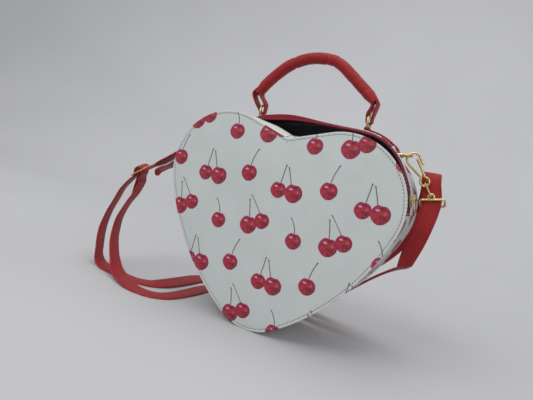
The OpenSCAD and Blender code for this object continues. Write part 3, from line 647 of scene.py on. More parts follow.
@dataclass
class Panel:
    """Printed outer panel with a foam crown, a rounded rim and a groove for its seam."""

    shape: BagShape
    side: int
    crown: float = 1.3
    crown_from: float = 3.2
    crown_reach: float = 13.0
    bulge: float = 0.8
    bulge_half: Point = (112.0, 104.0)
    seam_inset: float = 2.6
    deepest: float = 46.0
    inner_rings: int = 5
    middle: Point = (0.0, 122.0)

    def rise(self, d: float) -> float:
        """Height of the padded face above the flat rim at an inset."""
        return self.crown * (1.0 - math.exp(-max(0.0, d - self.crown_from) / self.crown_reach))

    def puff(self, x: float, z: float, d: float) -> float:
        """Height that the stuffing adds towards the middle, at a place and an inset of the face."""
        far = math.hypot((x - self.middle[0]) / self.bulge_half[0], (z - self.middle[1]) / self.bulge_half[1])
        return self.bulge * smoothstep(d, 3.0, 30.0) * max(0.0, 1.0 - far * far)

    def profile(self) -> list[Point]:
        """Insets and heights from the inside of the panel round its rim to the middle of its face."""
        s, t = self.seam_inset, self.shape.skin_t
        rim = [(self.deepest, -t), (22.0, -t), (6.0, -t), (0.6, -t), (0.15, -t + 0.12), (0.0, -t + 0.4),
               (0.0, -0.4), (0.14, -0.12), (0.5, 0.0), (1.2, 0.07), (s - 0.7, 0.04), (s - 0.3, -0.16),
               (s, -0.26), (s + 0.3, -0.16), (s + 0.7, 0.1)]
        face = [4.2, 5.4, 7.2, 9.5, 12.5, 16.0, 20.0, 25.0, 31.0, 38.0, self.deepest]
        return rim + [(d, self.rise(d)) for d in face]

    def build(self, name: str) -> Piece:
        """Build the panel.

        Args:
            name: Name of the object.

        Returns:
            The new object.
        """
        stations = self.shape.heart.whole()
        face_y = self.side * self.shape.back_y
        sections: list[Section] = []
        uvs: list[list[Point]] = []
        rim_count = 15

        def add(places: Sequence[Point], rise: float, d: Optional[float]) -> None:
            """Add a loop of the face; a loop of the rim has no inset."""
            loop: Section = []
            for x, z in places:
                puff = self.puff(x, z, d) if d is not None else 0.0
                loop.append(Vector((x, face_y + self.side * (rise + puff), z)))
            sections.append(loop)
            uvs.append([(-self.side * x, z) for x, z in places])

        for n, (d, rise) in enumerate(self.profile()):
            add([station(d) for station in stations], rise, d if n >= rim_count else None)
        last = [station(self.deepest) for station in stations]
        for n in range(1, self.inner_rings + 1):
            share = n / (self.inner_rings + 0.4)
            add([(mix(x, self.middle[0], share), mix(z, self.middle[1], share)) for x, z in last],
                self.rise(self.deepest), self.deepest)
        return skin(name, sections, uvs, smooth_angle=60.0)

    def seam(self, name: str) -> Piece:
        """Build the row of stitches round the panel.

        Args:
            name: Name of the object.

        Returns:
            The new object.
        """
        y = self.side * (self.shape.back_y - 0.22)
        places = [station(self.seam_inset) for station in self.shape.heart.whole()]
        line = [Vector((x, y, z)) for x, z in places]
        out = Vector((0.0, self.side, 0.0))
        return seam(name, line, lambda _: out, closed=True)


@dataclass
class FlatHeart:
    """A soft heart-shaped layer inside the bag: the foam or the lining behind a panel."""

    shape: BagShape
    y0: float
    y1: float
    inset: float = 3.8
    wrinkle: float = 0.0

    def build(self, name: str) -> Piece:
        """Build the layer.

        Args:
            name: Name of the object.

        Returns:
            The new object.
        """
        thick = self.y1 - self.y0
        stations = self.shape.heart.whole()
        profile = [(44.0, 0.0), (30.0, 0.0), (16.0, 0.0), (6.0, 0.0), (1.2, 0.06), (0.35, 0.2), (0.0, 0.5),
                   (0.35, 0.8), (1.2, 0.94), (6.0, 1.0), (16.0, 1.0), (30.0, 1.0), (44.0, 1.0)]
        sections: list[Section] = []
        for d, share in profile:
            ring: Section = []
            for station in stations:
                x, z = station(self.inset + d)
                place = Vector((x, mix(self.y0, self.y1, share), z))
                place.y += lump(place, 24.0, self.wrinkle * smoothstep(d, 0.0, 8.0), thick)
                ring.append(place)
            sections.append(ring)
        return skin(name, sections)


@dataclass
class Gusset:
    """The narrow side of the bag: base band, front strip and rear strip, with their lining.

    The cuff is where the front strip stands up, and the brow is a low rise at its left.
    """

    shape: BagShape
    front_w: float = 12.0
    rear_w: float = 38.0
    lap: float = 4.0
    lining_hem: float = 5.2
    uv_base: Point = (22.0, 30.0)
    uv_front: Point = (-11.0, 66.0)
    uv_rear: Point = (0.0, 20.0)
    cuff_rise: float = 5.2
    cuff_up: Point = (-56.0, -16.0)
    cuff_down: Point = (-3.0, 18.0)
    brow_share: float = 0.2
    brow_up: Point = (-82.0, -56.0)
    brow_down: Point = (-46.0, -30.0)

    @property
    def inside(self) -> float:
        """Depth of the inner face of each panel."""
        return self.shape.back_y - self.shape.skin_t

    def cuff(self, x: float, y: float) -> float:
        """How far the front strip stands up at its free edge, left of the cleft where the mouth gapes.

        Args:
            x: Place across the bag.
            y: Depth in the bag.

        Returns:
            The rise in millimetres, 0 behind the strip.
        """
        free = self.shape.front_y + self.front_w
        if y > free + 0.01:
            return 0.0
        window = smoothstep(x, *self.cuff_up) * (1.0 - smoothstep(x, *self.cuff_down))
        window += self.brow_share * smoothstep(x, *self.brow_up) * (1.0 - smoothstep(x, *self.brow_down))
        return self.cuff_rise * window * smoothstep(y, self.shape.front_y + 3.0, free)

    def flange(self, y: float) -> float:
        """How far the leather turns outwards where it is sewn to a panel."""
        near = smoothstep(abs(y), self.inside - 3.2, self.inside)
        return 0.95 * near

    def base(self) -> Piece:
        """Build the printed band round the tip."""
        heart = self.shape.heart
        ribs = self.shape.ribs(heart.lower(-1)[::-1] + heart.lower(1)[1:])

        def inset(rib: Rib, y: float, share: float) -> float:
            """Inset of the outer face."""
            place = rib.at(y, self.shape.rim)
            sag = 0.7 * math.sin(math.pi * share) + lump(place, 26.0, 0.35)
            return self.shape.rim + sag - self.flange(y)
        return strip("gusset_base_leather", ribs, lambda _: (-self.inside, self.inside), inset,
                     self.shape.skin_t, 26, self.uv_base)

    def base_lining(self) -> Piece:
        """Build the cloth inside the base band."""
        heart = self.shape.heart
        ribs = self.shape.ribs(heart.lower(-1)[::-1] + heart.lower(1)[1:])
        first = self.shape.rim + self.shape.skin_t

        def inset(rib: Rib, y: float, share: float) -> float:
            """Inset of the outer face."""
            bow = math.sin(math.pi * share)
            return first + 0.75 + 0.7 * bow + lump(rib.at(y, first), 15.0, 0.5, 4.0) * bow
        return strip("gusset_base_cloth", ribs, lambda _: (-self.inside, self.inside), inset,
                     self.shape.lining_t, 18)

    def upper_ribs(self) -> list[Rib]:
        """Ribs over both lobes and through the cleft, from the right end of the zipper."""
        heart = self.shape.heart
        return self.shape.ribs(heart.upper(1) + heart.upper(-1)[-2::-1])

    def front(self) -> Piece:
        """Build the narrow strip in front of the zipper, its free edge turned over."""
        free = self.shape.front_y + self.front_w

        def inset(rib: Rib, y: float, share: float) -> float:
            """Inset of the outer face."""
            turned = 0.35 * smoothstep(y, free - 5.0, free - 1.0)
            lift = turned + self.cuff(rib.x, y)
            return self.shape.rim - self.flange(y) - lift + lump(rib.at(y, 0.0), 20.0, 0.25, 2.0)
        return strip("gusset_front_leather", self.upper_ribs(), lambda _: (-self.inside, free), inset,
                     self.shape.skin_t + 0.3, 12, self.uv_front)

    def front_seam(self) -> Piece:
        """Build the stitches that hold the front strip to its tape."""
        ribs = self.upper_ribs()
        y = self.shape.front_y + self.front_w - 2.0
        return self.edge_seam("gusset_front_stitches", ribs, y, self.shape.rim - 0.5)

    def edge_seam(self, name: str, ribs: Sequence[Rib], y: float, d: float) -> Piece:
        """Build stitches along a strip.

        Args:
            name: Name of the object.
            ribs: Ribs of the strip.
            y: Depth of the seam.
            d: Inset of the surface there.

        Returns:
            The new object.
        """
        line = [rib.at(y, d - self.cuff(rib.x, y)) for rib in ribs]
        outs = [unit(rib.at(y, d) - rib.at(y, d + 1.0)) for rib in ribs]

        def out_at(index: float) -> Vector:
            """Direction away from the leather at an index along the seam."""
            i = min(len(outs) - 2, int(index))
            return unit(outs[i].lerp(outs[i + 1], index - i))
        return seam(name, line, out_at, radius=0.24)

    def rear(self) -> Piece:
        """Build the wide strip behind the zipper, which sinks into the cleft at the back."""
        free = self.shape.back_y - self.rear_w

        def inset(rib: Rib, y: float, share: float) -> float:
            """Inset of the outer face."""
            turned = 0.35 * (1.0 - smoothstep(y, free + 1.0, free + 5.0))
            return self.shape.rim - self.flange(max(y, 0.0)) - turned + lump(rib.at(y, 0.0), 22.0, 0.4, 7.0)
        return strip("gusset_rear_leather", self.shape.rear_ribs(), lambda _: (free, self.inside), inset,
                     self.shape.skin_t, 22, self.uv_rear)

    def rear_seam(self) -> Piece:
        """Build the stitches that hold the rear strip to its tape."""
        return self.edge_seam("gusset_rear_stitches", self.shape.rear_ribs(),
                              self.shape.back_y - self.rear_w + 2.0, self.shape.rim - 0.3)

    def rear_lining(self) -> Piece:
        """Build the cloth under the rear strip."""
        first = self.shape.rim + self.shape.skin_t + self.shape.tape_t

        def inset(rib: Rib, y: float, share: float) -> float:
            """Inset of the outer face."""
            return first + 0.3 + lump(rib.at(y, first), 13.0, 0.45, 9.0) * math.sin(math.pi * share)
        return strip("gusset_rear_cloth", self.shape.rear_ribs(),
                     lambda _: (self.shape.back_y - self.rear_w + self.lap,
                                self.shape.back_y - self.lining_hem), inset, self.shape.lining_t, 16)


@dataclass
class Zipper:
    """Tapes and the rear row of teeth; the front row, stops, slider and pull come from the CAD."""

    shape: BagShape
    gusset: Gusset
    pitch: float = 2.5
    arch_middle: float = 6.4
    arch_side: float = 1.3
    hump_x: float = -30.0
    hump_w: float = 32.0
    droop: float = 2.6
    droop_middle: float = 0.6
    ripple: float = 0.45
    ripple_pitch: float = 7.3

    def front_tape(self) -> Piece:
        """Build the tape under the front strip."""
        root = self.shape.front_y + self.gusset.front_w - self.gusset.lap
        free = self.shape.front_y + self.gusset.front_w
        first = self.shape.rim + self.shape.skin_t + 0.02

        def inset(rib: Rib, y: float, share: float) -> float:
            """Inset of the outer face."""
            edge = self.shape.zip_y - self.shape.mouth_gap(rib.x)
            return first - self.gusset.cuff(rib.x, min(y, free)) * (1.0 - smoothstep(y, free, edge))
        return strip("zip_tape_front_cloth", self.gusset.upper_ribs(),
                     lambda rib: (root, self.shape.zip_y - self.shape.mouth_gap(rib.x)), inset,
                     self.shape.tape_t, 12)

    def stand(self, rib: Rib, share: float) -> Vector:
        """How far the open rear tape arches up from the strip's edge and then hangs into the mouth.

        Args:
            rib: The rib it is on.
            share: 0 at the free edge, 1 at the seam.

        Returns:
            The displacement.
        """
        x, reach = rib.x, self.shape.heart.lobe_x
        y0, y1 = self.rear_range(rib)
        edge = (self.shape.back_y - self.gusset.rear_w - y0) / (y1 - y0)
        w = max(0.0, 1.0 - share / edge)
        gape = smoothstep(x, -reach - 3.0, -reach + 11.0) * (1.0 - smoothstep(x, reach, reach + 40.0))
        hump = math.exp(-((x - self.hump_x) / self.hump_w) ** 2)
        arch, droop = mix(self.arch_side, self.arch_middle, hump), mix(self.droop, self.droop_middle, hump)
        ripple = self.ripple * math.sin(x / self.ripple_pitch) * w
        out = unit(rib.at(0.0, 2.0) - rib.at(0.0, 3.0))
        return (out * (arch * 4.0 * w * (1.0 - w) - droop * w ** 1.7) + Vector((0.0, ripple, 0.0))) * gape

    def rear_range(self, rib: Rib) -> Point:
        """First and last depth of the rear tape on a rib."""
        return (self.shape.zip_y + self.shape.mouth_gap(rib.x),
                self.shape.back_y - self.gusset.rear_w + self.gusset.lap)

    def rear_tape(self) -> Piece:
        """Build the tape under the rear strip, its free edge standing up along the open mouth."""
        first = self.shape.rim + self.shape.skin_t
        return strip("zip_tape_rear_cloth", self.shape.rear_ribs(), self.rear_range,
                     lambda rib, y, share: first + 0.02, self.shape.tape_t, 12,
                     shift=lambda rib, y, share: self.stand(rib, share))

    def rear_teeth(self) -> Piece:
        """Build the row of teeth on the free edge of the rear tape."""
        first = self.shape.rim + self.shape.skin_t
        edge: list[Vector] = []
        inner: list[Vector] = []
        outs: list[Vector] = []
        for rib in self.shape.rear_ribs():
            y0, y1 = self.rear_range(rib)
            share = 2.0 / (y1 - y0)
            here = rib.at(y0, first) + self.stand(rib, 0.0)
            back = rib.at(y0 + 2.0, first) + self.stand(rib, share)
            edge.append(here)
            inner.append(back)
            outs.append(unit(rib.at(y0, first) - rib.at(y0, first + 1.0)))
        shells: list[Shell] = []
        stops = spread(edge, self.pitch)
        for at, along, index in stops[2:-2]:
            i = min(len(edge) - 2, int(index))
            across = unit(inner[i].lerp(inner[i + 1], index - i) - at)
            out = unit(outs[i].lerp(outs[i + 1], index - i))
            out = unit(along.cross(across)) * (1.0 if along.cross(across).dot(out) > 0 else -1.0)
            shells.append(self.tooth(at, along, across, out))
        return joined("zip_teeth_rear_row", shells, 40.0)

    @staticmethod
    def tooth(at: Vector, along: Vector, across: Vector, out: Vector) -> Shell:
        """One moulded tooth that clasps the edge of the tape.

        Args:
            at: Place on the edge.
            along: Direction of the row.
            across: Direction from the edge into the tape.
            out: Direction away from the tape.

        Returns:
            (points, faces) of the tooth.
        """
        points: list[Vector] = []
        levels = [(-0.25, 0.55, 0.0), (0.1, 0.75, 0.0), (0.75, 0.72, 0.0), (1.05, 0.5, 0.25)]
        for height, half, draw in levels:
            for along_by, across_by in ((-half, -0.5 + draw), (half, -0.5 + draw), (half * 0.8, 1.9 - draw),
                                        (-half * 0.8, 1.9 - draw)):
                points.append(at + along * along_by + across * across_by + out * height)
        faces = [[3, 2, 1, 0], [12, 13, 14, 15]]
        for level in range(3):
            for k in range(4):
                m = (k + 1) % 4
                faces.append([level * 4 + k, level * 4 + m, (level + 1) * 4 + m, (level + 1) * 4 + k])
        return points, faces


# Leather straps, bands and the handle


@dataclass
class Ribbon:
    """A flat leather strap with rounded, painted edges that follows a path."""

    width: float
    thick: float
    arc_points: int = 4
    crown: float = 0.12
    waves: float = 12.1

    def section(self, at: Vector, across: Vector, out: Vector, width: float, thick: float,
                wave: float = 0.0) -> Section:
        """One closed cross-section.

        Args:
            at: Middle of the strap.
            across: Direction of its width.
            out: Direction of its thickness.
            width: Width here.
            thick: Thickness here.
            wave: Height of the lengthwise gathers here.

        Returns:
            The points of the section.
        """
        half, deep = width / 2, thick / 2
        lip = min(deep, half * 0.5)
        flat = half - lip
        bow = [(share, deep + self.crown * thick * (1 - share * share), wave * math.cos(self.waves * share))
               for share in (-0.78, -0.52, -0.26, 0.0, 0.26, 0.52, 0.78)]
        turn = [math.pi * (0.5 - i / (self.arc_points - 1)) for i in range(self.arc_points)]
        outline: list[Point] = [(flat + lip * math.cos(a), deep * math.sin(a)) for a in turn]
        outline += [(flat * share, fold - rise) for share, rise, fold in bow[::-1]]
        outline += [(-flat - lip * math.cos(a), deep * math.sin(a)) for a in turn[::-1]]
        outline += [(flat * share, fold + rise) for share, rise, fold in bow]
        return [at + across * u + out * v for u, v in outline]

    def sweep(self, name: str, path: Sequence[Vector], across: Sequence[Vector],
              widths: Optional[Sequence[float]] = None, thicks: Optional[Sequence[float]] = None,
              waves: Optional[Sequence[float]] = None) -> Piece:
        """Stretch the strap along a path.

        Args:
            name: Name of the object.
            path: Middle line of the strap.
            across: Direction of the width at each point.
            widths: Width at each point, or none for the full width.
            thicks: Thickness at each point, or none for the full thickness.
            waves: Height of the gathers at each point, or none for a smooth strap.

        Returns:
            The new object.
        """
        sections: list[Section] = []
        uvs: list[list[Point]] = []
        run = 0.0
        for i, at in enumerate(path):
            before, after = path[max(0, i - 1)], path[min(len(path) - 1, i + 1)]
            along = unit(after - before)
            wide = unit(across[i] - along * across[i].dot(along))
            out = unit(along.cross(wide))
            if i:
                run += (at - path[i - 1]).length
            w = widths[i] if widths else self.width
            t = thicks[i] if thicks else self.thick
            ring = self.section(at, wide, out, w, t, waves[i] if waves else 0.0)
            sections.append(ring)
            uvs.append([(run, (p - at).dot(wide)) for p in ring])
        return skin(name, sections, uvs, smooth_angle=70.0)


def flow(points: Sequence[Vector], steps: int) -> list[Vector]:
    """A smooth line through points.

    Args:
        points: Points that the line passes.
        steps: New points between two of them.

    Returns:
        The denser line.
    """
    made: list[Vector] = []
    last = len(points) - 1
    for i in range(last):
        p0, p1, p2, p3 = points[max(0, i - 1)], points[i], points[i + 1], points[min(last, i + 2)]
        for n in range(steps):
            t = n / steps
            made.append(0.5 * ((2 * p1) + (p2 - p0) * t + (2 * p0 - 5 * p1 + 4 * p2 - p3) * t * t
                               + (3 * p1 - p0 - 3 * p2 + p3) * t ** 3))
    made.append(points[last].copy())
    return made


@dataclass
class ShoulderStrap:
    """The long adjustable strap: through the left ring, the adjuster and the right ring.

    Each station is (x, y, z) of the middle line and the direction of the strap's width.
    """

    width: float = 18.0
    thick: float = 1.8
    steps: int = 5
    fold: tuple[float, float, float] = (121.0, 30.0, 91.0)
    fold_reach: float = 25.0
    gather: float = 0.34
    wave: float = 0.42
    wave_reach: float = 62.0
    stations: tuple[tuple[float, ...], ...] = (
        (-178.7, 14.0, 116.1, 0, 1, 0), (-177.7, 14.0, 121.6, 0, 1, 0), (-170.7, 14.0, 127.1, 0, 1, 0),
        (-160.7, 14.0, 132.1, 0, 1, 0), (-151.1, 14.0, 140.1, 0, 1, 0), (-143.1, 14.0, 148.9, 0, 1, 0),
        (-138.9, 14.0, 153.8, 0, 1, 0), (-139.8, 14.0, 157.7, 0, 1, 0), (-144.2, 14.0, 156.7, 0, 1, 0),
        (-151.6, 14.0, 150.1, 0, 1, 0), (-162.7, 13.5, 141.4, 0, 1, 0), (-173.7, 12.0, 133.0, 0, 1, 0),
        (-183.1, 8.7, 125.3, -0.17, 0.96, 0.24), (-188.2, 8.6, 122.1, -0.17, 0.96, 0.24),
        (-192.9, 7.6, 122.8, -0.17, 0.96, 0.24), (-196.8, 6.7, 123.7, -0.17, 0.96, 0.24),
        (-200.2, 6.4, 122.4, -0.17, 0.96, 0.24), (-202.4, 6.8, 119.3, -0.17, 0.96, 0.24),
        (-203.1, 7.8, 115.0, -0.17, 0.96, 0.24), (-204.5, 8.7, 110.4, -0.17, 0.96, 0.24),
        (-209.6, 9.1, 105.6, -0.17, 0.96, 0.24), (-218.1, 5.5, 91.2, -0.3, 0.94, 0.12),
        (-220.8, 1.0, 76.7, -0.3, 0.94, 0.12), (-223.3, -4.0, 61.6, -0.3, 0.94, 0.12),
        (-223.1, -9.0, 47.3, -0.3, 0.94, 0.12), (-220.3, -14.0, 35.3, -0.3, 0.94, 0.12),
        (-215.9, -18.0, 21.9, -0.3, 0.94, 0.12), (-212.2, -20.0, 10.0, -0.3, 0.94, 0.12),
        (-206.3, -21.3, 3.3, -0.2, 0.97, 0.05), (-198.8, -23.0, 1.4, -0.05, 0.99, 0),
        (-189.8, -27.0, 1.1, 0.1, 1, 0), (-172.7, -29.5, 1.1, 0, 1, 0), (-152.6, -31.2, 1.1, 0, 1, 0),
        (-139.6, -28.0, 1.1, -0.25, 0.97, 0.02), (-127.5, -22.5, 1.8, -0.6, 0.75, 0.06),
        (-119.0, -11.0, 3.0, -0.95, 0.3, 0.15), (-115.5, 5.0, 3.2, -1, 0.1, 0.18),
        (-113.0, 23.0, 3.2, -1, 0, 0.18), (-111.5, 41.0, 2.8, -1, 0.1, 0.15),
        (-107.4, 58.0, 2.1, -0.93, 0.35, 0.06), (-98.4, 71.0, 1.2, -0.64, 0.76, 0),
        (-82.3, 80.0, 1.1, -0.25, 0.97, 0), (-60.2, 82.5, 1.0, 0, 1, 0), (-25.1, 83.0, 1.0, 0, 1, 0),
        (-6.0, 83.0, 1.5, 0, 1, 0), (10.0, 82.5, 4.5, 0, 1, 0), (26.0, 81.0, 12.0, 0, 1, 0),
        (42.0, 79.0, 24.0, 0, 1, 0), (56.0, 76.0, 38.0, 0.1, 1, 0), (70.0, 72.0, 57.5, 0.3, 0.95, -0.1),
        (84.0, 69.0, 75.5, 0.55, 0.8, -0.2), (96.0, 66.5, 92.0, 0.8, 0.5, -0.25),
        (106.0, 64.0, 107.0, 0.93, 0.3, -0.15), (113.0, 61.0, 121.5, 1, 0.1, 0),
        (119.0, 57.0, 135.5, 1, 0, 0), (124.0, 52.0, 148.5, 1, 0, 0), (126.8, 45.5, 160.5, 1, 0, 0),
        (127.1, 39.0, 171.5, 1, 0, 0), (126.5, 32.0, 182.0, 1, 0, 0), (126.3, 26.5, 186.1, 1, 0, 0.03),
        (127.0, 21.5, 183.5, 1, 0, 0.08), (128.7, 19.4, 175.5, 1, 0, 0.15),
        (131.2, 18.7, 167.3, 1, 0, 0.22), (133.1, 16.9, 159.3, 1, 0, 0.25),
        (132.9, 16.2, 151.0, 1, 0, 0.15), (131.7, 14.6, 139.6, 1, 0, 0.08),
        (129.1, 13.2, 123.6, 0.98, 0, 0.12), (125.9, 14.0, 107.7, 0.97, 0, 0.25),
        (123.5, 18.0, 96.2, 0.95, 0, 0.32), (121.5, 26.0, 91.2, 0.88, 0.2, 0.3),
        (118.3, 36.0, 88.7, 0.7, 0.5, 0.25), (112.0, 46.5, 83.7, 0.4, 0.85, 0.1),
        (102.4, 52.5, 76.3, 0.15, 0.97, 0.05), (91.4, 54.0, 66.8, 0.05, 1, 0), (76.3, 54.0, 52.3, 0, 1, 0),
        (60.2, 54.3, 36.9, 0, 1, 0), (44.2, 55.0, 21.9, 0, 1, 0), (28.1, 56.0, 8.5, 0, 1, 0),
        (14.1, 57.0, 2.2, 0, 1, 0), (-4.0, 57.0, 1.1, 0, 1, 0), (-30.1, 57.0, 1.1, 0, 1, 0),
        (-55.2, 55.0, 1.0, -0.15, 1, 0), (-72.3, 49.0, 1.0, -0.6, 0.78, 0),
        (-83.3, 37.0, 1.0, -0.9, 0.4, 0), (-87.4, 22.0, 1.0, -1, 0.1, 0), (-88.4, 5.0, 1.0, -1, 0, 0),
        (-89.9, -12.0, 1.0, -1, 0.1, 0), (-92.4, -29.0, 1.0, -1, 0.2, 0), (-97.9, -42.5, 1.0, -0.8, 0.6, 0),
        (-108.4, -50.0, 1.0, -0.35, 0.93, 0), (-122.5, -51.8, 1.0, 0, 1, 0),
        (-135.6, -50.4, 1.8, 0.1, 1, 0), (-146.6, -46.3, 3.3, 0.2, 0.97, 0),
        (-157.6, -41.0, 4.0, 0.2, 0.97, 0), (-167.2, -36.5, 7.2, 0, 1, 0.05),
        (-175.2, -32.0, 13.0, -0.2, 0.97, 0.05), (-183.8, -27.5, 21.9, -0.3, 0.94, 0.12),
        (-192.3, -21.5, 32.9, -0.3, 0.94, 0.12), (-198.2, -15.5, 44.5, -0.3, 0.94, 0.12),
        (-202.4, -8.0, 59.0, -0.3, 0.94, 0.12), (-202.0, 0.5, 75.6, -0.3, 0.94, 0.12),
        (-199.4, 7.5, 89.2, -0.17, 0.96, 0.24), (-197.2, 12.0, 102.7, -0.17, 0.96, 0.24),
        (-196.8, 10.4, 109.4, -0.17, 0.96, 0.24), (-194.4, 9.4, 114.9, -0.17, 0.96, 0.24),
        (-194.2, 8.4, 119.1, -0.17, 0.96, 0.24), (-196.0, 7.5, 121.1, -0.17, 0.96, 0.24),
        (-198.2, 7.3, 120.6, -0.17, 0.96, 0.24), (-199.4, 7.5, 118.7, -0.17, 0.96, 0.24),
        (-198.2, 8.4, 116.3, -0.17, 0.96, 0.24), (-198.2, 9.3, 112.7, -0.17, 0.96, 0.24),
        (-200.0, 10.5, 106.8, -0.17, 0.96, 0.24), (-201.8, 11.7, 100.5, -0.17, 0.96, 0.24),
        (-204.1, 13.4, 92.4, -0.17, 0.96, 0.24), (-206.2, 15.1, 84.2, -0.17, 0.96, 0.24),
    )

    def path(self) -> tuple[list[Vector], list[Vector]]:
        """The middle line and the width directions, smoothed."""
        middle = flow([Vector(s[:3]) for s in self.stations], self.steps)
        across = flow([unit(Vector(s[3:])) for s in self.stations], self.steps)
        return middle, [unit(a) for a in across]

    def build(self) -> Piece:
        """Build the strap with a pointed sewn end, a rounded tail and gathers at its right fold."""
        middle, across = self.path()
        last = len(middle) - 1
        run = [0.0]
        for i in range(1, last + 1):
            run.append(run[-1] + (middle[i] - middle[i - 1]).length)
        widths: list[float] = []
        thicks: list[float] = []
        waves: list[float] = []
        fold = Vector(self.fold)
        for i in range(last + 1):
            far = (middle[i] - fold).length
            drawn = 1.0 - self.gather * math.exp(-(far / self.fold_reach) ** 2)
            uneven = 0.8 + 0.2 * math.sin(run[i] / 6.0)
            waves.append(self.wave * math.exp(-(far / self.wave_reach) ** 2) * uneven)
            tip, tail = run[i], run[-1] - run[i]
            point = 1.0 if tip > 8.0 else mix(0.35, 1.0, tip / 8.0)
            ending = 1.0 if tail > 5.0 else math.sqrt(max(0.08, 1.0 - (1.0 - tail / 5.0) ** 2))
            widths.append((self.width + 0.25 * math.sin(run[i] / 17.0)) * point * ending * drawn)
            thicks.append(self.thick + 0.08 * math.sin(run[i] / 9.0))
        ribbon = Ribbon(self.width, self.thick)
        return ribbon.sweep("shoulder_strap_leather", middle, across, widths, thicks, waves)


@dataclass
class BandLoops:
    """A red band on the rear strip, folded round a handle ring and round the bar of a D-ring.

    It passes the lobe under the ring, over itself and below the bar, at angles in degrees.
    """

    shape: BagShape
    side: int
    width: float = 15.0
    thick: float = 1.3
    y: float = 14.0
    reach: float = 58.0
    ring_z: float = 213.09
    lift: float = 9.1
    bar: Point = (93.86, 196.67)
    wire_r: float = 1.1
    ring_r: float = 7.1
    under: Sequence[float] = (66.0, 72.0, 78.0)
    over: Sequence[float] = (80.0, 75.0, 70.0, 65.0, 60.0)
    below: Sequence[float] = (53.0, 57.0, 61.0)

    def surface(self, a: float, off: float) -> Vector:
        """A place over the lobe, a little outside the leather.

        Args:
            a: Angle over the lobe in degrees.
            off: Distance from the leather.

        Returns:
            The place.
        """
        heart, r = self.shape.heart, self.shape.heart.lobe_r - self.shape.rim + off
        above = smoothstep(a, self.shape.rise_from, self.shape.rise_to)
        t = math.radians(a)
        x = heart.lobe_x + r * math.cos(t)
        rise = self.shape.swell.lift(self.side * x, self.y, above)
        return Vector((self.side * (x + rise * 0.5 * math.cos(t)), self.y,
                       heart.lobe_z + r * math.sin(t) + rise * (0.5 * math.sin(t) + 0.5)))

    def around(self, centre: Point, radius: float, a0: float, a1: float, steps: int = 14) -> list[Vector]:
        """Points round a wire, between two angles in degrees seen from the front."""
        turns = [math.radians(mix(a0, a1, i / steps)) for i in range(steps + 1)]
        cx, cz = centre
        return [Vector((self.side * (cx + radius * math.cos(a)), self.y, cz + radius * math.sin(a)))
                for a in turns]

    def build(self, name: str) -> Piece:
        """Build the folded band.

        Args:
            name: Name of the object.

        Returns:
            The new object.
        """
        ring_low = self.ring_z + (self.lift if self.side > 0 else 0.0) - self.ring_r
        ring, bar = (self.reach, ring_low), self.bar
        wrap = self.wire_r + 0.3 + self.thick / 2
        bar_wrap = self.wire_r + 0.12 + self.thick / 2
        half = self.thick / 2
        under = [self.surface(a, half) for a in self.under]
        over = [self.surface(a, half + self.thick + 0.05) for a in self.over]
        below = [self.surface(a, half) for a in self.below]
        line = (under + self.around(ring, wrap, 250.0, -15.0) + over
                + self.around(bar, bar_wrap, 110.0, -160.0) + below)
        path = flow(line, 3)
        across = [Vector((0.0, 1.0, 0.0))] * len(path)
        top = Vector((self.side * ring[0], self.y, ring[1]))
        end = Vector((self.side * bar[0], self.y, bar[1]))
        widths: list[float] = []
        for p in path:
            near_ring = 1.0 - smoothstep((p - top).length, 2.5, 9.0)
            near_bar = 1.0 - smoothstep((p - end).length, 2.5, 9.0)
            widths.append(self.width - 6.0 * near_ring - 3.6 * near_bar)
        return Ribbon(self.width, self.thick).sweep(name, path, across, widths)


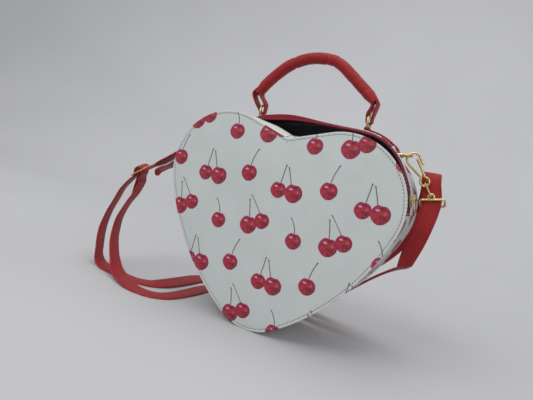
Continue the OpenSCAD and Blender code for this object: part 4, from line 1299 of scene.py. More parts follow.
@dataclass
class Handle:
    """The carrying handle: a rolled leather grip round a cord, with doubled ends round two rings.

    Points are (x, z) in the handle's own frame, and loop is the middle and radius of the turn round a ring.
    """

    middle: tuple[float, float, float] = (0.0, 14.0, 217.64)
    lean: float = 4.5
    centre: tuple[Point, ...] = (
        (-67.0, 18.2), (-59.5, 29.6), (-48.8, 40.6), (-38.8, 48.9), (-28.0, 55.0), (-14.2, 59.4), (0.0, 60.3),
        (13.6, 58.3), (23.7, 52.8), (35.0, 43.2), (45.8, 33.6), (56.6, 24.0), (61.8, 18.4))
    deep: float = 5.8
    wide: float = 6.7
    core_r: float = 4.2
    count: int = 28
    creases: tuple[Point, ...] = ((0.335, 0.75), (0.432, 0.4), (0.568, 0.65), (0.623, 0.7), (0.18, 0.3),
                                  (0.8, 0.3), (0.1, 0.4), (0.9, 0.45))
    end_w: float = 12.6
    end_low_w: float = 7.2
    end_t: float = 1.9
    loop: tuple[float, float, float] = (58.5, 1.1, 2.7)
    outer_left: tuple[Point, ...] = ((63.8, 27.0), (70.6, 20.2), (69.4, 14.6), (66.2, 9.4), (63.4, 4.6))
    inner_left: tuple[Point, ...] = ((55.5, 3.6), (55.8, 8.0), (58.4, 12.4), (62.2, 17.2), (63.0, 23.5))
    outer_right: tuple[Point, ...] = ((55.8, 27.8), (63.6, 20.6), (63.8, 15.6), (62.2, 9.6), (61.3, 4.0))
    inner_right: tuple[Point, ...] = ((55.6, 3.6), (55.9, 8.0), (58.0, 12.2), (59.0, 17.0), (57.0, 22.6))

    def place(self, x: float, y: float, z: float) -> Vector:
        """A point of the handle's own frame, which leans with the rings, in the frame of the bag.

        Args:
            x: Place along the handle.
            y: Place towards the back.
            z: Height over the rings.

        Returns:
            The point.
        """
        cos, sin = math.cos(math.radians(self.lean)), math.sin(math.radians(self.lean))
        mx, my, mz = self.middle
        return Vector((mx + x * cos - z * sin, my + y, mz + x * sin + z * cos))

    def roll(self, name: str, deep: float, wide: float, creased: bool) -> Piece:
        """A roll along the centre line.

        Args:
            name: Name of the object.
            deep: Half thickness in the plane of the arch.
            wide: Half thickness to the front and back.
            creased: True for the leather, False for the cord inside.

        Returns:
            The new object.
        """
        line = flow([self.place(x, 0.0, z) for x, z in self.centre], 15)
        run = [0.0]
        for i in range(1, len(line)):
            run.append(run[-1] + (line[i] - line[i - 1]).length)
        total = run[-1]
        sections: list[Section] = []
        uvs: list[list[Point]] = []
        y_axis = Vector((0.0, 1.0, 0.0))
        for i, at in enumerate(line):
            along = unit(line[min(len(line) - 1, i + 1)] - line[max(0, i - 1)])
            out = unit(along.cross(y_axis))
            if out.z < 0:
                out = -out
            end = min(run[i], total - run[i])
            round_end = math.sqrt(max(0.04, 1.0 - (1.0 - min(1.0, end / 2.6)) ** 2))
            flat = 1.0 - smoothstep(end, 0.0, 13.0)
            ring: Section = []
            row: list[Point] = []
            for k in range(self.count):
                t = math.tau * k / self.count
                if creased:
                    a, b = mix(deep, deep * 0.72, flat), mix(wide, wide * 1.02, flat)
                    share = run[i] / total
                    dent = sum(depth * math.exp(-(((share - s) * total - 1.6 * math.cos(t)) / 1.1) ** 2)
                               for s, depth in self.creases) * (0.85 - 0.15 * math.cos(t))
                    swell = lump(at + out * (a * math.cos(t)) + y_axis * (b * math.sin(t)), 9.0, 0.22, 3.0)
                    seam_line = 0.35 * math.exp(-((math.degrees(t) - 190.0) / 7.0) ** 2)
                    scale = (1.0 - (dent - swell + seam_line) / deep) * round_end
                else:
                    a, b = deep, wide
                    scale = (1.0 - 0.07 * abs(math.sin(1.5 * (t - run[i] / 5.0)))) * round_end
                ring.append(at + out * (a * scale * math.cos(t)) + y_axis * (b * scale * math.sin(t)))
                row.append((run[i], 6.0 * t))
            sections.append(ring)
            uvs.append(row)
        return skin(name, sections, uvs, smooth_angle=80.0)

    def end(self, name: str, side: int) -> Piece:
        """Build the doubled strap from the roll round its ring.

        Args:
            name: Name of the object.
            side: 1 for the right end, -1 for the left.

        Returns:
            The new object.
        """
        cx, cz, r = self.loop
        turn = [(cx + r * math.cos(math.radians(t)), cz + r * math.sin(math.radians(t)))
                for t in range(-10, -171, -20)]
        outer = self.outer_left if side < 0 else self.outer_right
        inner = self.inner_left if side < 0 else self.inner_right
        line = flow([self.place(side * x, 0.0, z) for x, z in outer + tuple(turn) + inner], 4)
        across = [Vector((0.0, 1.0, 0.0))] * len(line)
        low = self.place(side * cx, 0.0, cz - r)
        widths = [mix(self.end_low_w, self.end_w, smoothstep((p - low).length, 5.0, 12.0)) for p in line]
        return Ribbon(self.end_w, self.end_t).sweep(name, line, across, widths)


# Finishes: shader node groups shared by the materials, then one small class per finish


class Graph:
    """A short way to write a node tree."""

    def __init__(self, tree: bpy.types.NodeTree) -> None:
        """Keep the tree that nodes are added to."""
        self.tree = tree

    def add(self, kind: str, inputs: Optional[dict] = None, **settings: object) -> bpy.types.Node:
        """Add a node.

        Args:
            kind: Type of the node.
            inputs: Socket names or numbers with a value or another socket.
            settings: Properties of the node.

        Returns:
            The node.
        """
        node = self.tree.nodes.new(kind)
        for key, value in settings.items():
            setattr(node, key, value)
        for key, value in (inputs or {}).items():
            self.feed(node.inputs[key], value)
        return node

    def feed(self, socket: Socket, value: object) -> None:
        """Link a socket to a socket, or set it to a value."""
        if isinstance(value, Socket):
            self.tree.links.new(value, socket)
        else:
            socket.default_value = value

    def math(self, operation: str, a: object, b: object = 0.5, c: object = 0.5,
             clamp: bool = False) -> Socket:
        """A math node's result."""
        node = self.add("ShaderNodeMath", {0: a, 1: b, 2: c}, operation=operation, use_clamp=clamp)
        return node.outputs[0]

    def vector(self, operation: str, a: object, b: object, c: object = (0.0, 0.0, 0.0)) -> Socket:
        """A vector math node's vector.

        Args:
            operation: The node's operation.
            a: First vector.
            b: Second vector.
            c: Third vector, which only WRAP uses.

        Returns:
            The result.
        """
        node = self.add("ShaderNodeVectorMath", {0: a, 1: b}, operation=operation)
        if operation == "WRAP":
            self.feed(node.inputs[2], c)
        return node.outputs["Vector"]

    def length(self, a: object) -> Socket:
        """The length of a vector."""
        return self.add("ShaderNodeVectorMath", {0: a}, operation="LENGTH").outputs["Value"]

    def scaled(self, a: object, factor: object) -> Socket:
        """A vector times a number."""
        return self.add("ShaderNodeVectorMath", {0: a, "Scale": factor}, operation="SCALE").outputs["Vector"]

    def split(self, a: object) -> tuple[Socket, Socket, Socket]:
        """The three parts of a vector."""
        node = self.add("ShaderNodeSeparateXYZ", {0: a})
        return node.outputs[0], node.outputs[1], node.outputs[2]

    def ease(self, value: object, low: object, high: object, out_low: float = 0.0,
             out_high: float = 1.0) -> Socket:
        """A smooth step from low to high."""
        node = self.add("ShaderNodeMapRange", {"Value": value, "From Min": low, "From Max": high,
                                               "To Min": out_low, "To Max": out_high},
                        interpolation_type="SMOOTHSTEP")
        return node.outputs["Result"]

    def mix(self, share: object, a: object, b: object) -> Socket:
        """A blend of two colours."""
        return self.add("ShaderNodeMix", {0: share, 6: a, 7: b}, data_type="RGBA").outputs[2]

    def noise(self, vector: object, scale: float, detail: float = 2.0, rough: float = 0.5) -> Socket:
        """Smooth noise from 0 to 1."""
        return self.add("ShaderNodeTexNoise", {"Vector": vector, "Scale": scale, "Detail": detail,
                                               "Roughness": rough}).outputs["Fac"]


Sockets = dict[str, Socket]


def shader_group(name: str, inputs: Sequence[tuple[str, str, object]], outputs: Sequence[tuple[str, str]],
                 fill: Callable[[Graph, Sockets], Sockets]) -> bpy.types.NodeTree:
    """Make a shader node group with named sockets, once.

    Args:
        name: Name of the group.
        inputs: (name, Float, Vector or Color, default) of each input.
        outputs: (name, kind) of each output.
        fill: Adds the nodes; it is given the graph and the input sockets and returns the outputs.

    Returns:
        The group.
    """
    if name in bpy.data.node_groups:
        return bpy.data.node_groups[name]
    tree = bpy.data.node_groups.new(name, "ShaderNodeTree")
    for label, kind, default in inputs:
        socket = tree.interface.new_socket(name=label, in_out="INPUT", socket_type="NodeSocket" + kind)
        if kind == "Color":
            socket.default_value = (*default, 1.0) if len(default) == 3 else default
        else:
            socket.default_value = default
    for label, kind in outputs:
        tree.interface.new_socket(name=label, in_out="OUTPUT", socket_type="NodeSocket" + kind)
    graph = Graph(tree)
    entry, leave = tree.nodes.new("NodeGroupInput"), tree.nodes.new("NodeGroupOutput")
    results = fill(graph, {label: entry.outputs[label] for label, _, _ in inputs})
    for label, _ in outputs:
        tree.links.new(results[label], leave.inputs[label])
    return tree


def leather_grain() -> bpy.types.NodeTree:
    """Pebbled leather: a height of cells and creases, and a slow tone that varies over the surface."""
    def fill(g: Graph, s: Sockets) -> Sockets:
        """Add the nodes."""
        cells = g.add("ShaderNodeTexVoronoi", {"Vector": s["Vector"], "Scale": s["Cells"], "Randomness": 0.9},
                      feature="DISTANCE_TO_EDGE")
        pebble = g.ease(cells.outputs["Distance"], 0.0, 0.28)
        fine = g.noise(s["Vector"], 2600.0, 3.0, 0.6)
        broad = g.noise(s["Vector"], 60.0, 2.0)
        height = g.math("MULTIPLY_ADD", fine, 0.35, g.math("MULTIPLY_ADD", broad, 0.5, pebble))
        cloud = g.noise(s["Vector"], 34.0, 3.0, 0.55)
        tone = g.math("MULTIPLY_ADD", cloud, 0.7, g.math("MULTIPLY", pebble, 0.3))
        return {"Height": height, "Tone": tone}
    return shader_group("leather grain", [("Vector", "Vector", (0, 0, 0)), ("Cells", "Float", 900.0)],
                        [("Height", "Float"), ("Tone", "Float")], fill)


def thread_rows() -> bpy.types.NodeTree:
    """Two rows of stitches along a strap, from its cut coordinates."""
    def fill(g: Graph, s: Sockets) -> Sockets:
        """Add the nodes."""
        u, v, _ = g.split(s["Cut"])
        off = g.math("ABSOLUTE", g.math("SUBTRACT", g.math("ABSOLUTE", v), s["Offset"]))
        line = g.ease(off, g.math("MULTIPLY", s["Width"], 1.5), g.math("MULTIPLY", s["Width"], 0.7))
        beat = g.math("PINGPONG", g.math("DIVIDE", u, s["Pitch"]), 0.5)
        dash = g.ease(beat, 0.07, 0.14)
        mask = g.math("MULTIPLY", line, dash)
        groove = g.ease(off, g.math("MULTIPLY", s["Width"], 3.2), 0.0)
        return {"Mask": mask, "Height": g.math("SUBTRACT", g.math("MULTIPLY", mask, 0.9), groove)}
    return shader_group("thread rows", [("Cut", "Vector", (0, 0, 0)), ("Offset", "Float", 0.007),
                                        ("Pitch", "Float", 0.0031), ("Width", "Float", 0.0003)],
                        [("Mask", "Float"), ("Height", "Float")], fill)


def cloth_weave() -> bpy.types.NodeTree:
    """Plain weave: crossing threads and a slow tone."""
    def fill(g: Graph, s: Sockets) -> Sockets:
        """Add the nodes."""
        x, y, _ = g.split(g.scaled(s["Cut"], s["Threads"]))
        warp = g.math("ABSOLUTE", g.math("SINE", x))
        weft = g.math("ABSOLUTE", g.math("SINE", y))
        over = g.math("GREATER_THAN", g.math("MULTIPLY", g.math("SINE", g.math("MULTIPLY", x, 0.5)),
                                             g.math("SINE", g.math("MULTIPLY", y, 0.5))), 0.0)
        under = g.math("SUBTRACT", 1.0, over)
        height = g.math("ADD", g.math("MULTIPLY", warp, over), g.math("MULTIPLY", weft, under))
        tone = g.noise(s["Cut"], 70.0, 3.0, 0.6)
        return {"Height": height, "Tone": tone}
    return shader_group("cloth weave", [("Cut", "Vector", (0, 0, 0)), ("Threads", "Float", 5200.0)],
                        [("Height", "Float"), ("Tone", "Float")], fill)


def rubbed_and_highlit_edges() -> bpy.types.NodeTree:
    """Edges and corners that hands have rubbed, lightened also by a painted highlight where light would catch
    them.
    """
    def fill(g: Graph, s: Sockets) -> Sockets:
        """Add the nodes."""
        point = g.add("ShaderNodeNewGeometry").outputs["Pointiness"]
        # convex edges by pointiness: rubbed wear and also a painted highlight
        edge = g.ease(point, 0.51, 0.58)
        broken = g.ease(g.noise(s["Vector"], 240.0, 3.0, 0.6), 0.35, 0.65)
        return {"Mask": g.math("MULTIPLY", edge, broken)}
    return shader_group("rubbed and highlit edges", [("Vector", "Vector", (0, 0, 0))], [("Mask", "Float")], fill)


def cherry_fruit() -> bpy.types.NodeTree:
    """One painted cherry, from the offset to its middle in millimetres."""
    def fill(g: Graph, s: Sockets) -> Sockets:
        """Add the nodes."""
        q = g.scaled(s["Offset"], g.math("DIVIDE", 1.0, s["Radius"]))
        x, y, _ = g.split(q)
        wobble = g.math("MULTIPLY", g.math("SUBTRACT", g.noise(q, 0.9, 1.0), 0.5), 0.14)
        near_x = g.math("POWER", g.math("DIVIDE", g.math("ABSOLUTE", x), 0.3), 2.0)
        notch_x = g.math("EXPONENT", g.math("MULTIPLY", near_x, -1.0))
        notch = g.math("MULTIPLY", notch_x, g.ease(y, 0.2, 1.0, 0.0, 0.13))
        narrow = g.ease(y, 0.1, -1.0, 0.0, 0.07)
        wide = g.math("MULTIPLY", g.math("ABSOLUTE", x), narrow)
        dist = g.math("ADD", g.math("ADD", g.length(q), notch), g.math("ADD", wobble, wide))
        mask = g.ease(dist, 1.03, 0.97)
        cloud = g.ease(g.noise(q, 1.6, 2.0, 0.6), 0.35, 0.65)
        body = g.mix(cloud, (0.39, 0.026, 0.042, 1), (0.26, 0.016, 0.032, 1))
        rim = g.mix(g.ease(dist, 0.74, 0.98), body, (0.33, 0.016, 0.085, 1))
        shade = g.ease(g.math("ADD", x, g.math("MULTIPLY", y, -1.0)), -0.3, 0.9)
        low = g.math("MULTIPLY", shade, g.ease(g.noise(q, 3.0, 3.0, 0.7), 0.47, 0.58))
        dark = g.mix(g.math("MULTIPLY", low, 0.85), rim, (0.035, 0.008, 0.018, 1))
        dimple = g.length(g.vector("DIVIDE", g.vector("SUBTRACT", q, (0.08, 0.62, 0.0)), (0.42, 0.17, 1.0)))
        dimpled = g.mix(g.math("MULTIPLY", g.ease(dimple, 1.0, 0.3), 0.7), dark, (0.06, 0.006, 0.015, 1))
        spot = g.length(g.vector("DIVIDE", g.vector("SUBTRACT", q, (-0.36, 0.40, 0.0)), (0.30, 0.16, 1.0)))
        lit = g.mix(g.math("MULTIPLY", g.ease(spot, 1.0, 0.2), 0.75), dimpled, (0.75, 0.42, 0.62, 1))
        second = g.length(g.vector("DIVIDE", g.vector("SUBTRACT", q, (0.46, 0.18, 0.0)), (0.22, 0.30, 1.0)))
        colour = g.mix(g.math("MULTIPLY", g.ease(second, 1.0, 0.3), 0.35), lit, (0.70, 0.16, 0.24, 1))
        return {"Colour": colour, "Mask": mask}
    return shader_group("cherry fruit", [("Offset", "Vector", (0, 0, 0)), ("Radius", "Float", 8.0)],
                        [("Colour", "Color"), ("Mask", "Float")], fill)


def cherry_stem() -> bpy.types.NodeTree:
    """One painted stem, from the offset to its foot in millimetres."""
    def fill(g: Graph, s: Sockets) -> Sockets:
        """Add the nodes."""
        x, y, _ = g.split(s["Offset"])
        bent = g.math("MULTIPLY", s["Bend"], g.math("MULTIPLY", y, y))
        line = g.math("ADD", g.math("MULTIPLY", s["Lean"], y), bent)
        off = g.math("ABSOLUTE", g.math("SUBTRACT", x, line))
        share = g.math("DIVIDE", y, s["Length"])
        half = g.math("ADD", 0.50, g.ease(share, 0.86, 1.0, 0.0, 0.3))
        across = g.ease(off, g.math("ADD", half, 0.16), g.math("SUBTRACT", half, 0.12))
        along = g.math("MULTIPLY", g.math("GREATER_THAN", y, 0.0), g.math("LESS_THAN", share, 1.0))
        return {"Mask": g.math("MULTIPLY", across, along)}
    return shader_group("cherry stem", [("Offset", "Vector", (0, 0, 0)), ("Lean", "Float", 0.0),
                                        ("Bend", "Float", 0.0), ("Length", "Float", 16.0)],
                        [("Mask", "Float")], fill)


@dataclass(frozen=True)
class Cherry:
    """One cherry of the repeat: the middle of the fruit, its size, and its stem."""

    x: float
    z: float
    radius: float
    lean: float
    bend: float
    length: float
    foot: float = 0.6


@dataclass(frozen=True)
class CherryRepeat:
    """The repeat of the fruit print: pairs and singles in rows that step sideways."""

    across: float = 81.3
    down: float = 89.2
    turn: float = 0.5
    stem_lift: float = 10.0
    fruits: tuple[Cherry, ...] = (
        Cherry(-77.0, 139.2, 7.8, 0.12, 0.0, 20.5, 0.9),
        Cherry(-61.5, 139.0, 8.9, -0.32, -0.002, 18.5, -2.9),
        Cherry(-29.1, 148.7, 8.2, 0.06, 0.0105, 20.0, 0.1),
        Cherry(-86.6, 106.6, 7.9, -0.72, -0.004, 18.0, -1.6),
        Cherry(-99.7, 99.7, 8.9, -0.10, -0.004, 20.0, -0.1),
        Cherry(-51.5, 96.3, 7.9, 0.08, -0.028, 16.5, -0.2),
    )

    def group(self) -> bpy.types.NodeTree:
        """The print as a node group: its colour over the leather's, and where it lies."""
        def fill(g: Graph, s: Sockets) -> Sockets:
            """Add the nodes."""
            cut = g.scaled(s["Cut"], 1.0 / MM)
            turned = g.add("ShaderNodeVectorRotate", {"Vector": cut, "Angle": math.radians(-self.turn)},
                           rotation_type="Z_AXIS")
            place = turned.outputs["Vector"]
            high, low = (self.across / 2, self.down / 2, 1.0), (-self.across / 2, -self.down / 2, -1.0)
            colour, mask = s["Ground"], g.math("MULTIPLY", 0.0, 0.0)

            def offset(x: float, z: float) -> Socket:
                """Offset from the nearest copy of a place in the repeat."""
                return g.vector("WRAP", g.vector("SUBTRACT", place, (x, z, 0.0)), high, low)

            for f in self.fruits:
                start = 0.55 * f.radius
                # the wrap's window is moved up so that a long stem isn't cut
                foot = (f.x + f.foot, f.z + start + self.stem_lift, 0.0)
                near = g.vector("WRAP", g.vector("SUBTRACT", place, foot), high, low)
                near = g.vector("ADD", near, (0.0, self.stem_lift, 0.0))
                stem = g.add("ShaderNodeGroup", node_tree=cherry_stem())
                line = {"Offset": near, "Lean": f.lean, "Bend": f.bend, "Length": f.length}
                for key, value in line.items():
                    g.feed(stem.inputs[key], value)
                cover = g.math("MULTIPLY", stem.outputs["Mask"], 0.85)
                colour = g.mix(cover, colour, (0.075, 0.030, 0.052, 1))
                mask = g.math("MAXIMUM", mask, stem.outputs["Mask"])
            for f in self.fruits:
                fruit = g.add("ShaderNodeGroup", node_tree=cherry_fruit())
                g.feed(fruit.inputs["Offset"], offset(f.x, f.z))
                g.feed(fruit.inputs["Radius"], f.radius)
                colour = g.mix(fruit.outputs["Mask"], colour, fruit.outputs["Colour"])
                mask = g.math("MAXIMUM", mask, fruit.outputs["Mask"])
            return {"Colour": colour, "Mask": mask}
        return shader_group("cherry print",
                            [("Cut", "Vector", (0, 0, 0)), ("Ground", "Color", (0.6, 0.6, 0.6))],
                            [("Colour", "Color"), ("Mask", "Float")], fill)


def new_material(name: str) -> tuple[bpy.types.Material, Graph, bpy.types.Node]:
    """An empty material with a Principled shader.

    Args:
        name: Name of the material.

    Returns:
        The material, its graph and the shader node.
    """
    material = bpy.data.materials.new(name)
    material.use_nodes = True
    tree = material.node_tree
    tree.nodes.clear()
    graph = Graph(tree)
    shader = graph.add("ShaderNodeBsdfPrincipled")
    graph.add("ShaderNodeOutputMaterial", {"Surface": shader.outputs["BSDF"]})
    return material, graph, shader


@dataclass(frozen=True)
class LeatherFinish:
    """Leather or coated cloth with a pebbled grain, with or without the fruit print and stitches."""

    name: str
    colour: Colour
    deep: Colour
    worn_and_highlit: Colour
    roughness: float = 0.5
    cells: float = 900.0
    depth: float = 0.00008
    printed: bool = False
    thread: Optional[Colour] = None
    thread_offset: float = 0.0072
    specular: float = 0.4

    def material(self) -> bpy.types.Material:
        """Build the material."""
        material, g, shader = new_material(self.name)
        coords = g.add("ShaderNodeTexCoord")
        place, cut = coords.outputs["Object"], coords.outputs["UV"]
        grain = g.add("ShaderNodeGroup", node_tree=leather_grain())
        g.feed(grain.inputs["Vector"], place)
        g.feed(grain.inputs["Cells"], self.cells)
        edges = g.add("ShaderNodeGroup", node_tree=rubbed_and_highlit_edges())
        g.feed(edges.inputs["Vector"], place)
        colour = g.mix(g.ease(grain.outputs["Tone"], 0.25, 0.75), (*self.deep, 1), (*self.colour, 1))
        # lighter colour on convex edges: rubbed wear and also a painted edge highlight
        colour = g.mix(g.math("MULTIPLY", edges.outputs["Mask"], 0.5), colour, (*self.worn_and_highlit, 1))
        height = grain.outputs["Height"]
        rough: object = g.ease(grain.outputs["Height"], 0.2, 1.6, self.roughness + 0.1, self.roughness - 0.06)
        if self.printed:
            ink = g.add("ShaderNodeGroup", node_tree=CherryRepeat().group())
            g.feed(ink.inputs["Cut"], cut)
            g.feed(ink.inputs["Ground"], colour)
            colour = ink.outputs["Colour"]
            rough = g.math("SUBTRACT", rough, g.math("MULTIPLY", ink.outputs["Mask"], 0.06))
        if self.thread:
            rows_node = g.add("ShaderNodeGroup", node_tree=thread_rows())
            g.feed(rows_node.inputs["Cut"], cut)
            g.feed(rows_node.inputs["Offset"], self.thread_offset)
            colour = g.mix(rows_node.outputs["Mask"], colour, (*self.thread, 1))
            height = g.math("MULTIPLY_ADD", rows_node.outputs["Height"], 3.0, height)
        bump = g.add("ShaderNodeBump", {"Height": height, "Distance": self.depth, "Strength": 1.0})
        g.feed(shader.inputs["Base Color"], colour)
        g.feed(shader.inputs["Roughness"], rough)
        g.feed(shader.inputs["Normal"], bump.outputs["Normal"])
        shader.inputs["Specular IOR Level"].default_value = self.specular
        return material


@dataclass(frozen=True)
class ClothFinish:
    """Woven cloth: the lining, the zipper tapes and the cord in the handle."""

    name: str
    colour: Colour
    deep: Colour
    threads: float = 5200.0
    depth: float = 0.00006
    sheen: float = 0.25
    by_cut: bool = True

    def material(self) -> bpy.types.Material:
        """Build the material."""
        material, g, shader = new_material(self.name)
        coords = g.add("ShaderNodeTexCoord")
        weave = g.add("ShaderNodeGroup", node_tree=cloth_weave())
        g.feed(weave.inputs["Cut"], coords.outputs["UV" if self.by_cut else "Object"])
        g.feed(weave.inputs["Threads"], self.threads)
        slow = g.math("MULTIPLY", weave.outputs["Tone"], 0.6)
        tone = g.math("MULTIPLY_ADD", weave.outputs["Height"], 0.45, slow)
        g.feed(shader.inputs["Base Color"], g.mix(tone, (*self.deep, 1), (*self.colour, 1)))
        g.feed(shader.inputs["Roughness"], g.ease(weave.outputs["Height"], 0.0, 1.0, 0.9, 0.68))
        bump = g.add("ShaderNodeBump", {"Height": weave.outputs["Height"], "Distance": self.depth,
                                        "Strength": 0.9})
        g.feed(shader.inputs["Normal"], bump.outputs["Normal"])
        shader.inputs["Specular IOR Level"].default_value = 0.2
        shader.inputs["Sheen Weight"].default_value = self.sheen
        shader.inputs["Sheen Roughness"].default_value = 0.5
        return material


@dataclass(frozen=True)
class MetalFinish:
    """Plated wire and castings with a cloudy tone, fine scratches, and a paler colour on rubbed corners and
    edges that is also a painted highlight.
    """

    name: str
    colour: Colour
    deep: Colour
    edge_wear_and_highlight: Colour
    roughness: float = 0.24

    def material(self) -> bpy.types.Material:
        """Build the material."""
        material, g, shader = new_material(self.name)
        place = g.add("ShaderNodeTexCoord").outputs["Object"]
        edges = g.add("ShaderNodeGroup", node_tree=rubbed_and_highlit_edges())
        g.feed(edges.inputs["Vector"], place)
        cloud = g.noise(place, 180.0, 3.0, 0.6)
        scratch = g.noise(g.vector("MULTIPLY", place, (1.0, 1.0, 7.0)), 1500.0, 2.0, 0.7)
        colour = g.mix(g.ease(cloud, 0.3, 0.7), (*self.deep, 1), (*self.colour, 1))
        # paler gold on convex edges: a painted highlight as well as rubbed wear
        colour = g.mix(edges.outputs["Mask"], colour, (*self.edge_wear_and_highlight, 1))
        dull = g.ease(cloud, 0.3, 0.7, self.roughness + 0.10, self.roughness)
        rough = g.math("ADD", dull, g.ease(scratch, 0.5, 0.75, 0.0, 0.08))
        bump = g.add("ShaderNodeBump", {"Height": scratch, "Distance": 0.00001, "Strength": 0.5})
        g.feed(shader.inputs["Base Color"], colour)
        g.feed(shader.inputs["Roughness"], rough)
        g.feed(shader.inputs["Normal"], bump.outputs["Normal"])
        shader.inputs["Metallic"].default_value = 1.0
        return material


@dataclass(frozen=True)
class PlasticFinish:
    """Moulded zipper teeth, matt with a faint cloud, and the foam of the pads."""

    name: str
    colour: Colour
    deep: Colour
    roughness: float = 0.45
    pores: float = 700.0
    depth: float = 0.00003

    def material(self) -> bpy.types.Material:
        """Build the material."""
        material, g, shader = new_material(self.name)
        place = g.add("ShaderNodeTexCoord").outputs["Object"]
        grain = g.add("ShaderNodeGroup", node_tree=leather_grain())
        g.feed(grain.inputs["Vector"], place)
        g.feed(grain.inputs["Cells"], self.pores)
        g.feed(shader.inputs["Base Color"], g.mix(grain.outputs["Tone"], (*self.deep, 1), (*self.colour, 1)))
        rough = g.ease(grain.outputs["Tone"], 0.3, 0.7, self.roughness + 0.1, self.roughness)
        g.feed(shader.inputs["Roughness"], rough)
        bump = g.add("ShaderNodeBump", {"Height": grain.outputs["Height"], "Distance": self.depth,
                                        "Strength": 0.8})
        g.feed(shader.inputs["Normal"], bump.outputs["Normal"])
        return material


class Finishes:
    """Every finish of the bag, built once."""

    def __init__(self) -> None:
        """Build the materials."""
        # the colour after the deep one of each leather lightens its edges: rubbed wear and a painted edge
        # highlight
        white, white_deep = (0.53, 0.57, 0.55), (0.48, 0.52, 0.50)
        red, red_deep, red_worn_and_highlit = (0.37, 0.016, 0.018), (0.25, 0.008, 0.011), (0.48, 0.07, 0.06)
        thread = (0.28, 0.012, 0.018)
        self.printed = LeatherFinish("printed_leather", white, white_deep, (0.62, 0.64, 0.62), 0.42,
                                     1100.0, 0.00005, printed=True).material()
        self.thread = LeatherFinish("seam_thread", (0.30, 0.17, 0.155), (0.20, 0.10, 0.095),
                                    (0.34, 0.2, 0.18), 0.7, 3000.0, 0.00003).material()
        self.white_thread = LeatherFinish("pale_thread", (0.58, 0.60, 0.58), (0.45, 0.47, 0.45),
                                          (0.6, 0.6, 0.6), 0.7, 3000.0, 0.00003).material()
        self.red = LeatherFinish("red_leather", red, red_deep, red_worn_and_highlit, 0.40, 800.0, 0.00014,
                                 thread=thread, thread_offset=0.0074, specular=0.26).material()
        self.red_band = LeatherFinish("red_band_leather", red, red_deep, red_worn_and_highlit, 0.40, 800.0, 0.00014,
                                      thread=thread, thread_offset=0.0058, specular=0.26).material()
        self.red_roll = LeatherFinish("red_roll_leather", red, red_deep, red_worn_and_highlit, 0.38, 620.0, 0.00022,
                                      specular=0.26).material()
        self.lining = ClothFinish("lining_cloth", (0.105, 0.11, 0.135), (0.05, 0.053, 0.07), 7000.0,
                                  0.00005).material()
        self.tape = ClothFinish("tape_cloth", (0.25, 0.004, 0.018), (0.12, 0.002, 0.009), 4200.0, 0.00012,
                                0.05).material()
        self.filler = ClothFinish("filler_cord", (0.62, 0.60, 0.55), (0.40, 0.38, 0.33), 2600.0, 0.0001,
                                  by_cut=False).material()
        self.teeth = PlasticFinish("teeth_plastic", (0.20, 0.008, 0.020), (0.12, 0.004, 0.012)).material()
        self.foam = PlasticFinish("foam", (0.68, 0.68, 0.70), (0.55, 0.55, 0.58), 0.9, 1500.0,
                                  0.0001).material()
        # the last colour of the gold is its paler edge colour, a painted highlight as well as wear
        self.gold = MetalFinish("gold_metal", (0.72, 0.60, 0.27), (0.52, 0.40, 0.15),
                                (0.88, 0.80, 0.48)).material()


# Hardware that the CAD already shapes


@dataclass
class Hardware:
    """The rigid CAD nodes, which keep their shape and get better materials."""

    nodes: dict[str, Piece]
    gold: tuple[str, ...] = ("zip_stops", "zip_slider", "zip_pull", "left_handle_ring", "right_handle_ring",
                             "left_d_ring", "right_d_ring", "left_hook", "right_hook", "left_gate",
                             "right_gate", "left_swivel_link", "right_swivel_link", "left_strap_ring",
                             "right_strap_ring", "strap_adjuster")
    plastic: tuple[str, ...] = ("front_zip_teeth",)

    def finish(self, finishes: Finishes) -> None:
        """Give every rigid node its finish.

        Args:
            finishes: The materials of the bag.
        """
        for names, material in ((self.gold, finishes.gold), (self.plastic, finishes.teeth)):
            for name in names:
                for slot in self.nodes[name].material_slots:
                    slot.material = material
                LOG.info("%s is finished in %s", name, material.name)


# Studio


@dataclass
class Lamp:
    """A soft rectangular lamp that looks at a point."""

    name: str
    place: tuple[float, float, float]
    target: tuple[float, float, float]
    size: tuple[float, float]
    watts: float
    colour: Colour = (1.0, 1.0, 1.0)

    def build(self) -> Piece:
        """Build the lamp."""
        light = bpy.data.lights.new(self.name, "AREA")
        light.shape = "RECTANGLE"
        light.size, light.size_y = self.size
        light.energy = self.watts
        light.color = self.colour
        lamp = bpy.data.objects.new(self.name, light)
        lamp.location = self.place
        lamp.rotation_euler = (Vector(self.target) - Vector(self.place)).to_track_quat("-Z", "Y").to_euler()
        bpy.context.scene.collection.objects.link(lamp)
        return lamp


